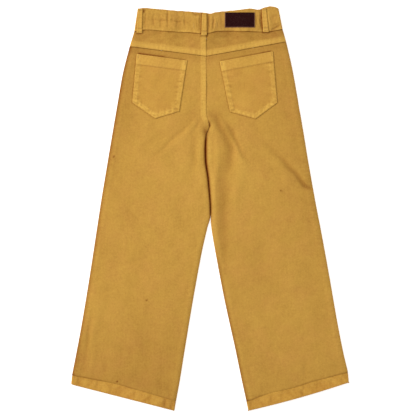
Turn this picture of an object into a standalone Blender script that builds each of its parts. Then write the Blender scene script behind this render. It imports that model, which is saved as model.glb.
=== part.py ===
"""Wide leg jeans for a child of about six, laid flat on their front with the back showing.

The waist points to +Y and the back faces +Z. Each cut piece is one wall of cloth: the front
panels lie flat on the ground, the back panels lie over them and roll down to meet them at the
side seams and inseams, and the waistband and the hems are flattened rings.
All tables and sizes are in millimetres, and MM turns them into metres.
"""

import math
from bisect import bisect_right
from collections import namedtuple

import bmesh
import bpy
from mathutils import Vector
from mathutils.bvhtree import BVHTree

MM = 0.001
COLLECTION = "wide_leg_jeans"

CLOTH = 1.2  # wall of one layer of twill
SEAM_GAP = 0.3  # between two pieces that are sewn together
BAND_WALL = 2.0  # waistband, cloth folded double
HEM_WALL = 1.8
BAND_HOLLOW = 1.1  # between the front and back halves of a flattened ring
TRIM_GAP = 0.4  # between a panel and what is sewn on top of it
WAIST_GAP = 0.5  # between the waistband and the panels, whose edges bend at other places

EDGE_ROLL = 12.0  # how far in from a folded edge the back cloth rises
EDGE_UNDER = CLOTH + SEAM_GAP  # underside of the back cloth where it meets the front
SEAT_UNDER = 3.2  # underside of the back cloth in the middle of the seat
LEG_UNDER = 2.8  # the same in the legs
SEAT_ENDS_Y = 60.0
FELL_WIDTH = 9.5  # raised band of a felled seam
FELL_RISE = 0.6

CENTRE_X = -6.3  # centre back and centre front seam
CROTCH_Y = 144.6
LEG_GAP = 1.6  # between the two legs where they press together
LEGS_PART_Y = -12.3  # below this the legs spread
LEG_GAP_FADES_Y = -76.0

Section = namedtuple(
    "Section",
    "name inner_y left_outer_x left_outer_y left_inner_x right_inner_x right_outer_x right_outer_y",
)
SECTIONS = [
    Section("yoke seam", 266.4, -140.6, 283.4, -6.3, -6.3, 133.3, 291.6),
    Section("pockets", 218.0, -152.3, 237.2, -6.1, -6.1, 143.9, 245.3),
    Section("seat", 163.8, -161.5, 185.4, -5.9, -5.9, 153.3, 193.2),
    Section("crotch", 144.6, -164.6, 167.1, -0.5, -0.5, 156.3, 174.7),
    Section("under the crotch", 127.6, -167.4, 150.9, -6.5, -6.5, 159.3, 158.3),
    Section("thigh", 85.0, -174.3, 110.2, -7.5, -7.5, 166.2, 117.4),
    Section("lower thigh", 50.0, -179.9, 76.8, -2.6, -2.6, 171.7, 83.7),
    Section("legs part", -12.3, -189.8, 17.3, 2.3, 2.3, 182.3, 23.8),
    Section("above the knee", -34.0, -193.0, -3.4, -4.4, 2.5, 186.1, 3.0),
    Section("knee", -76.0, -199.1, -43.5, -14.2, 9.4, 194.0, -37.4),
    Section("calf", -160.0, -211.4, -123.7, -29.6, 25.4, 208.8, -118.2),
    Section("lower calf", -244.0, -224.7, -203.9, -43.6, 43.9, 222.8, -198.9),
    Section("ankle", -300.0, -234.7, -257.4, -52.6, 55.5, 233.4, -252.8),
    Section("hem seam", -338.0, -241.3, -292.5, -59.6, 63.8, 241.4, -289.0),
    Section("hem edge", -353.5, -242.9, -307.3, -62.3, 67.0, 242.9, -304.0),
]

WaistRow = namedtuple("WaistRow", "name seam_x seam_y top_x top_y")
WAIST = [
    WaistRow("left side", -132.6, 309.5, -126.4, 349.8),
    WaistRow("left loop", -112.0, 312.4, -110.0, 350.7),
    WaistRow("left back", -70.0, 309.2, -70.0, 346.9),
    WaistRow("left of the centre", -38.0, 307.5, -38.0, 344.4),
    WaistRow("centre loop", -7.0, 305.2, -7.0, 341.8),
    WaistRow("right of the centre", 14.0, 309.6, 14.0, 343.6),
    WaistRow("label", 50.0, 309.9, 50.0, 347.4),
    WaistRow("right loop", 98.0, 308.8, 98.0, 352.4),
    WaistRow("right back", 112.0, 310.6, 109.0, 353.5),
    WaistRow("right side", 127.0, 313.6, 119.6, 350.6),
]
FRONT_DROP = 8.0  # how much lower the waist is at the centre front
FRONT_LAP = 16.0  # how far each end of the waistband passes the centre front
LAP_SHOULDER = 20.0  # over what width the cloth climbs over the lapped ends

Crease = namedtuple("Crease", "x depth width")
WAIST_CREASES = [
    Crease(-73.0, 0.3, 4.0),
    Crease(-44.0, 0.24, 4.0),
    Crease(-31.0, 0.42, 3.5),
    Crease(-19.5, 0.54, 3.0),
    Crease(-2.0, 0.48, 3.0),
    Crease(5.5, 0.3, 3.0),
    Crease(12.0, 0.42, 3.5),
    Crease(20.0, 0.24, 3.5),
    Crease(85.0, 0.48, 3.5),
    Crease(106.0, 0.36, 4.0),
]

Fold = namedtuple("Fold", "name start_x start_y end_x end_y width rise")
FOLDS = [
    Fold("trough under the centre seam", 3.5, 176.0, 17.5, 128.8, 8.0, -1.2),
    Fold("ridge at the crotch", 5.3, 151.6, 10.5, 128.8, 6.0, 1.0),
    Fold("ridge on the right thigh", 30.3, 139.3, 48.3, 107.8, 8.0, 1.5),
    Fold("trough beside it", 34.9, 148.4, 59.9, 92.6, 7.0, -1.2),
    Fold("long trough along the right inseam", 27.0, 123.5, 28.0, -55.0, 10.0, -1.3),
    Fold("ridge on its inner side", 9.0, 118.0, 11.0, -45.0, 8.0, 0.9),
    Fold("ridge on its outer side", 60.0, 85.0, 66.0, -30.0, 15.0, 1.2),
    Fold("upper part of the slanting trough", 97.0, 114.8, 133.4, 81.6, 10.0, -1.1),
    Fold("lower part of the slanting trough", 133.4, 81.6, 164.0, 42.4, 10.0, -1.3),
    Fold("ridge below the slanting trough", 112.0, 80.0, 150.0, 30.0, 14.0, 0.8),
    Fold("crease at the right side seam", 164.5, 38.0, 178.5, 34.0, 6.0, -1.0),
    Fold("trough across the left thigh", -76.0, 109.6, -37.0, 142.8, 10.0, -1.0),
    Fold("end of it at the crotch", -37.0, 142.8, -15.0, 154.0, 9.0, -0.9),
    Fold("ridge along the left inseam", -22.0, 118.0, -18.0, 10.0, 11.0, 1.0),
]

PocketCorners = namedtuple("PocketCorners", "top_outer top_inner low_inner tip low_outer")
POCKETS = {
    "left": PocketCorners(
        (-128.1, 270.2), (-39.6, 258.7), (-53.4, 169.8), (-95.7, 157.3), (-136.0, 185.2)
    ),
    "right": PocketCorners(
        (110.1, 274.9), (16.8, 257.1), (34.7, 169.1), (79.8, 156.8), (118.0, 185.0)
    ),
}

Loop = namedtuple("Loop", "name top_x top_y low_x low_y")
BACK_LOOPS = [
    Loop("belt_loop_back_left", -119.8, 349.0, -123.4, 306.6),
    Loop("belt_loop_back_centre", -10.2, 341.0, -10.2, 301.5),
    Loop("belt_loop_back_right", 92.7, 350.4, 97.9, 308.0),
]
LOOP_WIDTH = 10.6
LOOP_WALL = 1.2
LABEL_LEFT = 25.7
LABEL_RIGHT = 78.5
LABEL_TOP = 342.6
LABEL_BOTTOM = 316.2
LABEL_WALL = 1.0

FRONT_LOOP_OFFSET = 64.0  # from the centre front to each front loop
FRONT_LOOP_INSET = 1.5  # from the edges of the waistband to its ends
SCOOP_WIDTH = 62.0  # front pocket opening along the waist seam
SCOOP_DEPTH = 64.0  # and down the side seam
SCOOP_ENDS_AT = math.radians(78)  # angle round the opening where the side seam closes it
FLY_WIDTH = 34.0
FLY_LENGTH = 100.0
BUTTON_DIAMETER = 15.0
BUTTON_HEIGHT = 2.0
BUTTON_BEVEL = 0.5

TWILL = (0.56, 0.30, 0.058, 1.0)
TWILL_ROUGHNESS = 0.85
LABEL_RED = (0.032, 0.007, 0.011, 1.0)
BRASS = (0.45, 0.30, 0.12, 1.0)


def mix(a, b, share):
    return a + (b - a) * share


def ease(t):
    """From 0 to 1 with level ends."""
    t = min(1.0, max(0.0, t))
    return t * t * (3.0 - 2.0 * t)


def spaced(start, stop, count):
    return [mix(start, stop, i / count) for i in range(count + 1)]


def cubic(knots, values, at):
    """A smooth value at one place, on a cubic through the knots."""
    if at <= knots[0]:
        return values[0]
    if at >= knots[-1]:
        return values[-1]
    i = bisect_right(knots, at) - 1
    last = len(knots) - 1

    def slope(k):
        before = max(k - 1, 0)
        after = min(k + 1, last)
        return (values[after] - values[before]) / (knots[after] - knots[before])

    width = knots[i + 1] - knots[i]
    t = (at - knots[i]) / width
    a = values[i]
    b = values[i + 1]
    da = slope(i) * width
    db = slope(i + 1) * width
    return a + t * (da + t * (3 * (b - a) - 2 * da - db + t * (2 * (a - b) + da + db)))


def section_value(column, inner_y):
    """A column of the leg table at the row that reaches inner_y on the inseam."""
    knots = [-row.inner_y for row in SECTIONS]
    values = [getattr(row, column) for row in SECTIONS]
    return cubic(knots, values, -inner_y)


def waist_value(column, seam_x):
    """A column of the waist table at a place along the waist seam."""
    knots = [row.seam_x for row in WAIST]
    values = [getattr(row, column) for row in WAIST]
    return cubic(knots, values, seam_x)


def bump(x, centre, flat, shoulder):
    """1 within flat of the centre, falling to 0 over the shoulder."""
    return 1.0 - ease((abs(x - centre) - flat) / shoulder)


def fold_height(x, y):
    """How far the folds lift or sink the back cloth at one place."""
    total = 0.0
    for fold in FOLDS:
        along = Vector((fold.end_x - fold.start_x, fold.end_y - fold.start_y))
        here = Vector((x - fold.start_x, y - fold.start_y))
        share = min(1.0, max(0.0, here.dot(along) / along.length_squared))
        away = (here - along * share).length
        total += fold.rise * math.exp(-((away / fold.width) ** 2))
    return total


def roll(distance):
    """The quarter round by which the cloth rises from a folded edge."""
    t = 1.0 - min(1.0, max(0.0, distance) / EDGE_ROLL)
    return math.sqrt(1.0 - t * t)


def leg_edges(side, inner_y, gap):
    """The outer and inner ends of one row of a leg, with the gap that the legs keep."""
    outer = Vector(
        (section_value(side + "_outer_x", inner_y), section_value(side + "_outer_y", inner_y))
    )
    kept = gap * ease((inner_y - LEG_GAP_FADES_Y) / (LEGS_PART_Y - LEG_GAP_FADES_Y))
    left_x = section_value("left_inner_x", inner_y) - kept / 2
    right_x = section_value("right_inner_x", inner_y) + kept / 2
    x = left_x if side == "left" else max(right_x, left_x + kept)
    return outer, Vector((x, inner_y))


def back_gap(inner_y):
    """The seam gap over the crotch, and the gap between the rolled legs below it."""
    below = ease((CROTCH_Y - inner_y) / FELL_WIDTH)
    return mix(SEAM_GAP, LEG_GAP, below)


def back_under(point, outer, inner, inner_y):
    """The height of the underside of the back cloth over the ground."""
    crown = mix(LEG_UNDER, SEAT_UNDER, ease((point.y - SEAT_ENDS_Y) / SEAT_ENDS_Y))
    sewn = ease((inner_y - CROTCH_Y) / FELL_WIDTH)
    rise = roll((point - outer).length) * mix(roll((point - inner).length), 1.0, sewn)
    plain = mix(EDGE_UNDER, crown, rise)
    calm = mix(rise, rise * ease((point - inner).length / FELL_WIDTH), sewn)
    return max(EDGE_UNDER, plain + fold_height(point.x, point.y) * calm)


def fell(distance):
    """The raised band along a felled seam."""
    return FELL_RISE if distance < FELL_WIDTH else 0.0


def material(name, colour, roughness, metallic=0.0):
    made = bpy.data.materials.new(name)
    made.use_nodes = True
    shader = made.node_tree.nodes["Principled BSDF"]
    shader.inputs["Base Color"].default_value = colour
    shader.inputs["Roughness"].default_value = roughness
    shader.inputs["Metallic"].default_value = metallic
    made.diffuse_color = colour
    return made


def place(name, mesh_maker, colour=TWILL, roughness=TWILL_ROUGHNESS, metallic=0.0):
    """Turn a bmesh into a named object with a material of its own."""
    mesh = bpy.data.meshes.new(name)
    mesh_maker.to_mesh(mesh)
    mesh_maker.free()
    mesh.materials.append(material(name + "_finish", colour, roughness, metallic))
    mesh.shade_smooth()
    mesh.set_sharp_from_angle(angle=math.radians(50))
    piece = bpy.data.objects.new(name, mesh)
    bpy.data.collections[COLLECTION].objects.link(piece)
    return piece


def moved_grid(columns, rows, point):
    """A grid whose vertices are moved to point(column, row), in millimetres."""
    grid = bmesh.new()
    bmesh.ops.create_grid(grid, x_segments=columns, y_segments=rows, size=1.0)
    for vert in grid.verts:
        column = round((vert.co.x + 1.0) / 2.0 * columns)
        row = round((1.0 - vert.co.y) / 2.0 * rows)
        vert.co = Vector(point(column, row)) * MM
    return grid


def wall(grid, top):
    """Close an open grid into a wall whose upper face is at top(x, y, under)."""
    sides = bmesh.ops.extrude_face_region(grid, geom=grid.faces[:])["geom"]
    for vert in sides:
        if isinstance(vert, bmesh.types.BMVert):
            vert.co.z = top(vert.co.x / MM, vert.co.y / MM, vert.co.z / MM) * MM
    bmesh.ops.recalc_face_normals(grid, faces=grid.faces[:])
    return grid


def plain_top(x, y, under):
    return under + CLOTH


def row_levels(top, bottom):
    """Rows of a leg: close together over the folds, wider apart down the leg."""
    fine = 13.0
    coarse = 26.0
    turn = -60.0
    upper = spaced(top, turn, round((top - turn) / fine))
    lower = spaced(turn, bottom, round((turn - bottom) / coarse))
    return upper + lower[1:]


def back_panel(side):
    """One back leg, from the yoke seam to the hem seam."""
    columns = 18
    levels = row_levels(SECTIONS[0].inner_y - SEAM_GAP, SECTIONS[-2].inner_y + SEAM_GAP)

    def point(column, row):
        outer, inner = leg_edges(side, levels[row], back_gap(levels[row]))
        here = outer.lerp(inner, column / columns)
        return here.x, here.y, back_under(here, outer, inner, levels[row])

    def top(x, y, under):
        felled = side == "left" and y > CROTCH_Y
        from_seam = section_value("left_inner_x", y) - x
        return under + CLOTH + (fell(from_seam) if felled else 0.0)

    return place("back_" + side, wall(moved_grid(columns, len(levels) - 1, point), top))


def yoke_corners(side):
    """The outer and centre ends of a yoke, at the waist seam and at the yoke seam."""
    away = -1.0 if side == "left" else 1.0
    waist = WAIST[0] if side == "left" else WAIST[-1]
    centre = CENTRE_X + away * SEAM_GAP / 2
    yoke = SECTIONS[0]
    outer_low = Vector((getattr(yoke, side + "_outer_x"), getattr(yoke, side + "_outer_y")))
    return waist.seam_x, centre, outer_low, Vector((centre, yoke.inner_y))


def waist_lift(x):
    """How far the front waistband is held off the ground by its button and loops."""
    button = bump(x, CENTRE_X, BUTTON_DIAMETER / 2 + 1.5, 18.0)
    total = (BUTTON_HEIGHT + SEAM_GAP) * button
    for away in (-1.0, 1.0):
        loop = bump(x, CENTRE_X + away * FRONT_LOOP_OFFSET, LOOP_WIDTH / 2 + 1.0, 12.0)
        total += (LOOP_WALL + SEAM_GAP) * loop
    return total


def waist_back_under(x):
    """Underside of the back half of the waistband, which lies over the front half."""
    lap = bump(x, CENTRE_X, FRONT_LAP + 5.0, LAP_SHOULDER)
    return BAND_WALL + BAND_HOLLOW + waist_lift(x) + (BAND_WALL + SEAM_GAP) * lap


def yoke(side):
    """The shaped strip between the waistband and the leg panel."""
    columns = 18
    rows = 6
    outer_x, centre_x, outer_low, centre_low = yoke_corners(side)

    def point(column, row):
        share = column / columns
        down = row / rows
        x = mix(outer_x, centre_x, share)
        high = Vector((x, waist_value("seam_y", x) - WAIST_GAP))
        here = high.lerp(outer_low.lerp(centre_low, share), down)
        edge = Vector((outer_x, waist_value("seam_y", outer_x))).lerp(outer_low, down)
        rise = roll((here - edge).length)
        crown = mix(waist_back_under(x), SEAT_UNDER, ease(down))
        return here.x, here.y, mix(EDGE_UNDER, crown, rise)

    def top(x, y, under):
        share = (x - outer_low.x) / (centre_low.x - outer_low.x)
        return under + CLOTH + fell(y - outer_low.lerp(centre_low, share).y)

    return place("yoke_" + side, wall(moved_grid(columns, rows, point), top))


def front_drop(x):
    """How much lower the front half of the waist lies, from 0 at the sides."""
    half = (WAIST[-1].seam_x - WAIST[0].seam_x) / 2
    middle = (WAIST[-1].seam_x + WAIST[0].seam_x) / 2
    share = (x - middle) / half
    return FRONT_DROP * (1.0 - share * share)


def front_top_y(x):
    """The seam between the front panels and the front half of the waistband."""
    return waist_value("seam_y", x) - front_drop(x)


def side_point(side, depth):
    """A point of the side seam at a depth below the waist seam."""
    waist = WAIST[0] if side == "left" else WAIST[-1]
    low = SECTIONS[1]
    high_end = Vector((waist.seam_x, waist.seam_y))
    low_end = Vector((getattr(low, side + "_outer_x"), getattr(low, side + "_outer_y")))
    return high_end.lerp(low_end, depth / (high_end.y - low_end.y))


def scoop_point(side, angle, inset):
    """A point of the pocket opening, a quarter ellipse about the corner of waist and side."""
    towards = 1.0 if side == "left" else -1.0
    depth = (SCOOP_DEPTH - inset) * math.sin(angle)
    reach = (SCOOP_WIDTH - inset) * math.cos(angle)
    x = side_point(side, depth).x + towards * reach
    return Vector((x, front_top_y(x) - WAIST_GAP - depth))


def front_panel(side):
    """One front leg, with its corner cut away in a scoop for the pocket."""
    columns = 10
    angles = spaced(0.0, SCOOP_ENDS_AT, 10)
    centre = section_value(side + "_inner_x", SECTIONS[0].inner_y)
    centre += (-1.0 if side == "left" else 1.0) * SEAM_GAP / 2
    top_y = front_top_y(centre) - WAIST_GAP
    low_y = SECTIONS[1].inner_y + 6.0
    levels = row_levels(SECTIONS[1].inner_y - SEAM_GAP, SECTIONS[-2].inner_y + SEAM_GAP)

    def ends(row):
        if row < len(angles):
            inner_y = mix(top_y, low_y, math.sin(angles[row]))
            return scoop_point(side, angles[row], 0.0), Vector((centre, inner_y))
        if row == len(angles):
            return side_point(side, SCOOP_DEPTH + WAIST_GAP), Vector((centre, low_y - 2.0))
        return leg_edges(side, levels[row - len(angles) - 1], SEAM_GAP)

    def point(column, row):
        outer, inner = ends(row)
        here = outer.lerp(inner, column / columns)
        if row == 0:
            here.y = front_top_y(here.x) - WAIST_GAP
        return here.x, here.y, 0.0

    grid = moved_grid(columns, len(angles) + len(levels), point)
    return place("front_" + side, wall(grid, plain_top))


def pocket_facing(side):
    """The quarter round of cloth that fills the scoop behind the pocket opening."""
    columns = 6
    angles = spaced(0.0, SCOOP_ENDS_AT, 10)
    inset = 0.8

    def point(column, row):
        depth = (SCOOP_DEPTH - inset) * math.sin(angles[row])
        edge = side_point(side, depth + WAIST_GAP)
        here = edge.lerp(scoop_point(side, angles[row], inset), column / columns)
        if row == 0:
            here.y = front_top_y(here.x) - WAIST_GAP
        return here.x, here.y, 0.0

    grid = moved_grid(columns, len(angles) - 1, point)
    return place("pocket_facing_" + side, wall(grid, plain_top))


def fly_shield():
    """The strip behind the closed fly, between the front and the back."""
    top_y = front_top_y(CENTRE_X) - WAIST_GAP * 2

    def point(column, row):
        x = CENTRE_X + mix(-FLY_WIDTH, FLY_WIDTH, column / 2) / 2
        return x, mix(top_y, top_y - FLY_LENGTH, row / 4), EDGE_UNDER

    return place("fly_shield", wall(moved_grid(2, 4, point), plain_top))


def ring_turn(side_x, towards, low, high, thick):
    """Stations round a folded side, from the lower half of a ring to the upper half."""
    radius = (high - low) / 2
    stations = []
    for angle in spaced(-math.pi / 2, math.pi / 2, 8):
        inset = thick / 2 + radius * (1.0 - math.cos(angle))
        stations.append((side_x + towards * inset, low + radius * (1.0 + math.sin(angle))))
    return stations


def banded(name, stations, rows, point, thick, closed):
    """A strip of cloth through stations, each an (across, height) pair of its middle."""

    def on_strip(column, row):
        across, height = stations[column]
        x, y = point(across, height, row / rows)
        return x, y, height

    grid = moved_grid(len(stations) - 1, rows, on_strip)
    if closed:
        bmesh.ops.remove_doubles(grid, verts=grid.verts[:], dist=0.00001)
    bmesh.ops.recalc_face_normals(grid, faces=grid.faces[:])
    piece = place(name, grid)
    solid = piece.modifiers.new("cloth", "SOLIDIFY")
    solid.thickness = thick * MM
    solid.offset = 0.0
    solid.use_even_offset = True
    return piece


def crease_depth(x):
    return sum(c.depth * math.exp(-(((x - c.x) / c.width) ** 2)) for c in WAIST_CREASES)


def waistband():
    """One strip from the lapped end at the centre front, round the back, to the other end."""
    half = BAND_WALL / 2
    left = WAIST[0].seam_x
    right = WAIST[-1].seam_x
    back_low = waist_back_under(left) + half
    left_turn = ring_turn(left, 1.0, half, back_low, BAND_WALL)
    right_turn = ring_turn(right, -1.0, half, back_low, BAND_WALL)
    right_turn.reverse()
    lap_tip = CENTRE_X + FRONT_LAP
    lap_under = CENTRE_X - FRONT_LAP

    def front(x):
        return x, half + waist_lift(x)

    def back(x):
        return x, half + waist_back_under(x) - crease_depth(x)

    def lapped(x):
        climb = 1.0 - ease((x - lap_tip - 1.5) / 10.0)
        return x, half + waist_lift(x) + (BAND_WALL + SEAM_GAP) * climb

    stations = [front(x) for x in spaced(lap_tip, left_turn[0][0], 28)][:-1]
    stations += left_turn
    stations += [back(x) for x in spaced(left_turn[-1][0], right_turn[0][0], 72)][1:-1]
    stations += right_turn
    stations += [lapped(x) for x in spaced(right_turn[-1][0], lap_under, 32)][1:]

    def point(across, height, share):
        x = mix(waist_value("top_x", across), across, share)
        y = mix(waist_value("top_y", across), waist_value("seam_y", across), share)
        in_front = height < waist_back_under(across)
        return x, y - (front_drop(across) if in_front else 0.0)

    return banded("waistband", stations, 4, point, BAND_WALL, False)


def hem(side):
    """The turned-up end of one leg, a flattened ring."""
    seam = SECTIONS[-2]
    edge = SECTIONS[-1]
    seam_outer, seam_inner = leg_edges(side, seam.inner_y, 0.0)
    edge_outer, edge_inner = leg_edges(side, edge.inner_y, 0.0)
    width = (edge_inner - edge_outer).length
    low = HEM_WALL / 2
    high = low + HEM_WALL + BAND_HOLLOW
    outer_turn = ring_turn(0.0, 1.0, low, high, HEM_WALL)
    inner_turn = ring_turn(width, -1.0, low, high, HEM_WALL)
    inner_turn.reverse()
    stations = outer_turn
    stations += [(a, high) for a in spaced(outer_turn[-1][0], inner_turn[0][0], 14)][1:-1]
    stations += inner_turn
    stations += [(a, low) for a in spaced(inner_turn[-1][0], outer_turn[0][0], 8)][1:]

    def point(across, height, share):
        top = seam_outer.lerp(seam_inner, across / width)
        bottom = edge_outer.lerp(edge_inner, across / width)
        here = top.lerp(bottom, share)
        return here.x, here.y

    return banded("hem_" + side, stations, 2, point, HEM_WALL, True)


def surface(*pieces):
    """A function that gives the height of the highest of some pieces at a place."""
    bpy.context.view_layer.update()
    graph = bpy.context.evaluated_depsgraph_get()
    trees = [BVHTree.FromObject(piece, graph) for piece in pieces]

    def height(x, y):
        start = Vector((x, y, 1000.0)) * MM
        hits = [tree.ray_cast(start, Vector((0.0, 0.0, -1.0)))[0] for tree in trees]
        return max([hit.z / MM for hit in hits if hit] or [0.0])

    return height


def patch_pocket(side, height):
    """A five-sided pocket that lies on the back panel."""
    corners = POCKETS[side]
    columns = 12
    rows = 10

    def low_edge(share):
        if share < 0.5:
            return Vector(corners.low_outer).lerp(Vector(corners.tip), share * 2)
        return Vector(corners.tip).lerp(Vector(corners.low_inner), share * 2 - 1)

    def point(column, row):
        share = column / columns
        high = Vector(corners.top_outer).lerp(Vector(corners.top_inner), share)
        here = high.lerp(low_edge(share), row / rows)
        return here.x, here.y, height(here.x, here.y) + TRIM_GAP

    return place("pocket_" + side, wall(moved_grid(columns, rows, point), plain_top))


def belt_loop(loop, height):
    """A loop over the waistband, tacked down on the yoke below it."""
    columns = 2
    rows = 14
    high = Vector((loop.top_x, loop.top_y))
    low = Vector((loop.low_x, loop.low_y))
    reach = (high - low).length / rows

    def point(column, row):
        here = high.lerp(low, row / rows)
        x = here.x + mix(-LOOP_WIDTH, LOOP_WIDTH, column / columns) / 2
        around = [height(x, here.y + reach * step) for step in (-1.0, -0.5, 0.0, 0.5, 1.0)]
        return x, here.y, max(around) + TRIM_GAP

    def top(x, y, under):
        return under + LOOP_WALL

    return place(loop.name, wall(moved_grid(columns, rows, point), top))


def front_loop(side):
    """A loop on the hidden front, flat on the ground under the waistband."""
    away = -1.0 if side == "left" else 1.0
    x_middle = CENTRE_X + away * FRONT_LOOP_OFFSET
    drop = front_drop(x_middle)
    high = waist_value("top_y", x_middle) - drop - FRONT_LOOP_INSET
    low = waist_value("seam_y", x_middle) - drop + FRONT_LOOP_INSET

    def point(column, row):
        x = x_middle + mix(-LOOP_WIDTH, LOOP_WIDTH, column) / 2
        return x, mix(high, low, row), 0.0

    def top(x, y, under):
        return under + LOOP_WALL

    return place("belt_loop_front_" + side, wall(moved_grid(1, 1, point), top))


def label(height):
    """The bare label sewn on the waistband."""
    columns = 16
    rows = 4

    def point(column, row):
        x = mix(LABEL_LEFT, LABEL_RIGHT, column / columns)
        y = mix(LABEL_TOP, LABEL_BOTTOM, row / rows)
        return x, y, height(x, y) + TRIM_GAP

    def top(x, y, under):
        return under + LABEL_WALL

    return place("label", wall(moved_grid(columns, rows, point), top), LABEL_RED)


def waist_button():
    """The button that closes the waistband, between it and the ground."""
    centre_y = (waist_value("top_y", CENTRE_X) + waist_value("seam_y", CENTRE_X)) / 2
    disc = bmesh.new()
    bmesh.ops.create_cone(
        disc,
        cap_ends=True,
        segments=24,
        radius1=BUTTON_DIAMETER / 2 * MM,
        radius2=BUTTON_DIAMETER / 2 * MM,
        depth=BUTTON_HEIGHT * MM,
    )
    rims = [e for e in disc.edges if abs(e.verts[0].co.z - e.verts[1].co.z) < BUTTON_BEVEL * MM]
    bmesh.ops.bevel(
        disc, geom=rims, offset=BUTTON_BEVEL * MM, segments=2, profile=0.5, affect="EDGES"
    )
    place_at = Vector((CENTRE_X, centre_y - front_drop(CENTRE_X), BUTTON_HEIGHT / 2)) * MM
    bmesh.ops.translate(disc, verts=disc.verts[:], vec=place_at)
    return place("waist_button", disc, BRASS, 0.35, 1.0)


def clear_scene():
    for thing in list(bpy.data.objects):
        bpy.data.objects.remove(thing)
    home = bpy.data.collections.new(COLLECTION)
    bpy.context.scene.collection.children.link(home)


def build():
    clear_scene()
    band = waistband()
    fly_shield()
    waist_button()
    yokes = [yoke(side) for side in ("left", "right")]
    for side in ("left", "right"):
        front_panel(side)
        pocket_facing(side)
        front_loop(side)
        hem(side)
        patch_pocket(side, surface(back_panel(side)))
    for loop in BACK_LOOPS:
        belt_loop(loop, surface(band, *yokes))
    label(surface(band))


build()
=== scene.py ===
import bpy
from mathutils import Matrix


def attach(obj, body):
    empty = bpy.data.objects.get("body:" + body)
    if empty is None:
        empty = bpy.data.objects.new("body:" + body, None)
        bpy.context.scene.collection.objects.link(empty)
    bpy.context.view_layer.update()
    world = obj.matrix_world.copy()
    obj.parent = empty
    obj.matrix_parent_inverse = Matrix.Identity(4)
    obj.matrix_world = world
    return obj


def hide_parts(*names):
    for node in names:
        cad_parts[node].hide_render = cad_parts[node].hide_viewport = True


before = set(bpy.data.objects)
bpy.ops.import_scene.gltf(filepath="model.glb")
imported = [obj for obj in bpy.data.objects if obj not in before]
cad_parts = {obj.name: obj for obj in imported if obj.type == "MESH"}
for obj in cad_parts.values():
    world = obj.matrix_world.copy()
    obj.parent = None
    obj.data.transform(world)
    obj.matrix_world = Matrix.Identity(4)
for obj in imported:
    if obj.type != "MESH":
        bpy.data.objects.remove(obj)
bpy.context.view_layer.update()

import math
from functools import partial

import bmesh
import bpy
import numpy as np
from mathutils import Matrix, Vector
from mathutils.bvhtree import BVHTree

# Wide leg jeans in mustard twill, laid flat on their front. Sizes are in millimetres
# until a mesh is written, x to the wearer's right, y to the waist, z out of the back.
mm = 0.001
turn = 2.0 * math.pi
sides = ("left", "right")
signs = dict(left=-1.0, right=1.0)

fit = dict(
    cloth=1.2,  # one layer of twill, as the solids have it
    seamGap=0.3,
    waistGap=0.5,
    bandWall=2.0,
    hemWall=1.8,
    ringHollow=1.1,  # between the two halves of a flattened ring
    trimGap=0.4,
    edgeUnder=1.5,  # underside of the back cloth at a side seam
    seatUnder=3.7,  # undersides of the seat and of the legs, with room to sink in folds
    legUnder=3.6,
    seatEnds=60.0,
    edgeRoll=12.0,
    fell=9.5,  # width of a felled seam
    centre=-6.3,
    crotch=144.6,
    legGap=0.3,
    legsPart=-12.3,
    gapFades=-76.0,
    frontDrop=8.0,
    frontLap=16.0,
    lapShoulder=20.0,
    frontFace=0.25,  # the front cloth over the ground, on its stitches
)

# the legs, a row for each level down from the yoke seam: y on the inseam, x and y of the
# left side seam, x of the left and of the right inseam, x and y of the right side seam
legRows = np.array([
    (266.4, -140.6, 283.4, -6.3, -6.3, 133.3, 291.6),
    (218.0, -152.3, 237.2, -6.1, -6.1, 143.9, 245.3),
    (163.8, -161.5, 185.4, -5.9, -5.9, 153.3, 193.2),
    (144.6, -164.6, 167.1, -0.5, -0.5, 156.3, 174.7),
    (127.6, -167.4, 150.9, -6.5, -6.5, 159.3, 158.3),
    (85.0, -174.3, 110.2, -7.5, -7.5, 166.2, 117.4),
    (50.0, -179.9, 76.8, -2.9, -2.9, 171.7, 83.7),
    (-12.3, -189.8, 17.3, 1.0, 1.0, 182.3, 23.8),
    (-34.0, -193.0, -3.4, -4.6, 2.3, 186.1, 3.0),
    (-76.0, -199.1, -43.5, -14.2, 9.4, 194.0, -37.4),
    (-160.0, -211.4, -123.7, -29.6, 25.4, 208.8, -118.2),
    (-244.0, -224.7, -203.9, -43.6, 43.9, 222.8, -198.9),
    (-300.0, -234.7, -257.4, -52.6, 55.5, 233.4, -252.8),
    (-338.0, -241.3, -292.5, -59.6, 63.8, 241.4, -289.0),
    (-353.5, -242.9, -307.3, -62.3, 67.0, 242.9, -304.0),
])
legColumn = dict(leftOuterX=1, leftOuterY=2, leftInnerX=3, rightInnerX=4, rightOuterX=5, rightOuterY=6)
# its rows at the yoke seam, the end of the front pocket scoops, the hem seam and the hem's edge
yokeRow, scoopRow, hemRow, edgeRow = 0, 1, -2, -1

# the waist from left to right: x and y on the waist seam, x and y on the top edge
waistRows = np.array([
    (-132.6, 309.5, -126.4, 349.8),
    (-112.0, 312.4, -110.0, 350.7),
    (-70.0, 309.2, -70.0, 346.9),
    (-38.0, 307.5, -38.0, 344.4),
    (-7.0, 305.2, -7.0, 341.8),
    (14.0, 309.6, 14.0, 343.6),
    (50.0, 309.9, 50.0, 347.4),
    (98.0, 308.8, 98.0, 352.4),
    (112.0, 310.6, 109.0, 353.5),
    (127.0, 313.6, 119.6, 350.6),
])
waistEnds = dict(left=waistRows[0, :2], right=waistRows[-1, :2])
waistLeft, waistRight = waistRows[0, 0], waistRows[-1, 0]

# pockets: outer top, inner top, inner low, tip and outer low corner
pocketCorners = dict(
    left=np.array([(-128.1, 270.2), (-39.6, 258.7), (-53.4, 169.8), (-95.7, 157.3), (-136.0, 185.2)]),
    right=np.array([(110.1, 274.9), (16.8, 257.1), (34.7, 169.1), (79.8, 156.8), (118.0, 185.0)]),
)

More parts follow.
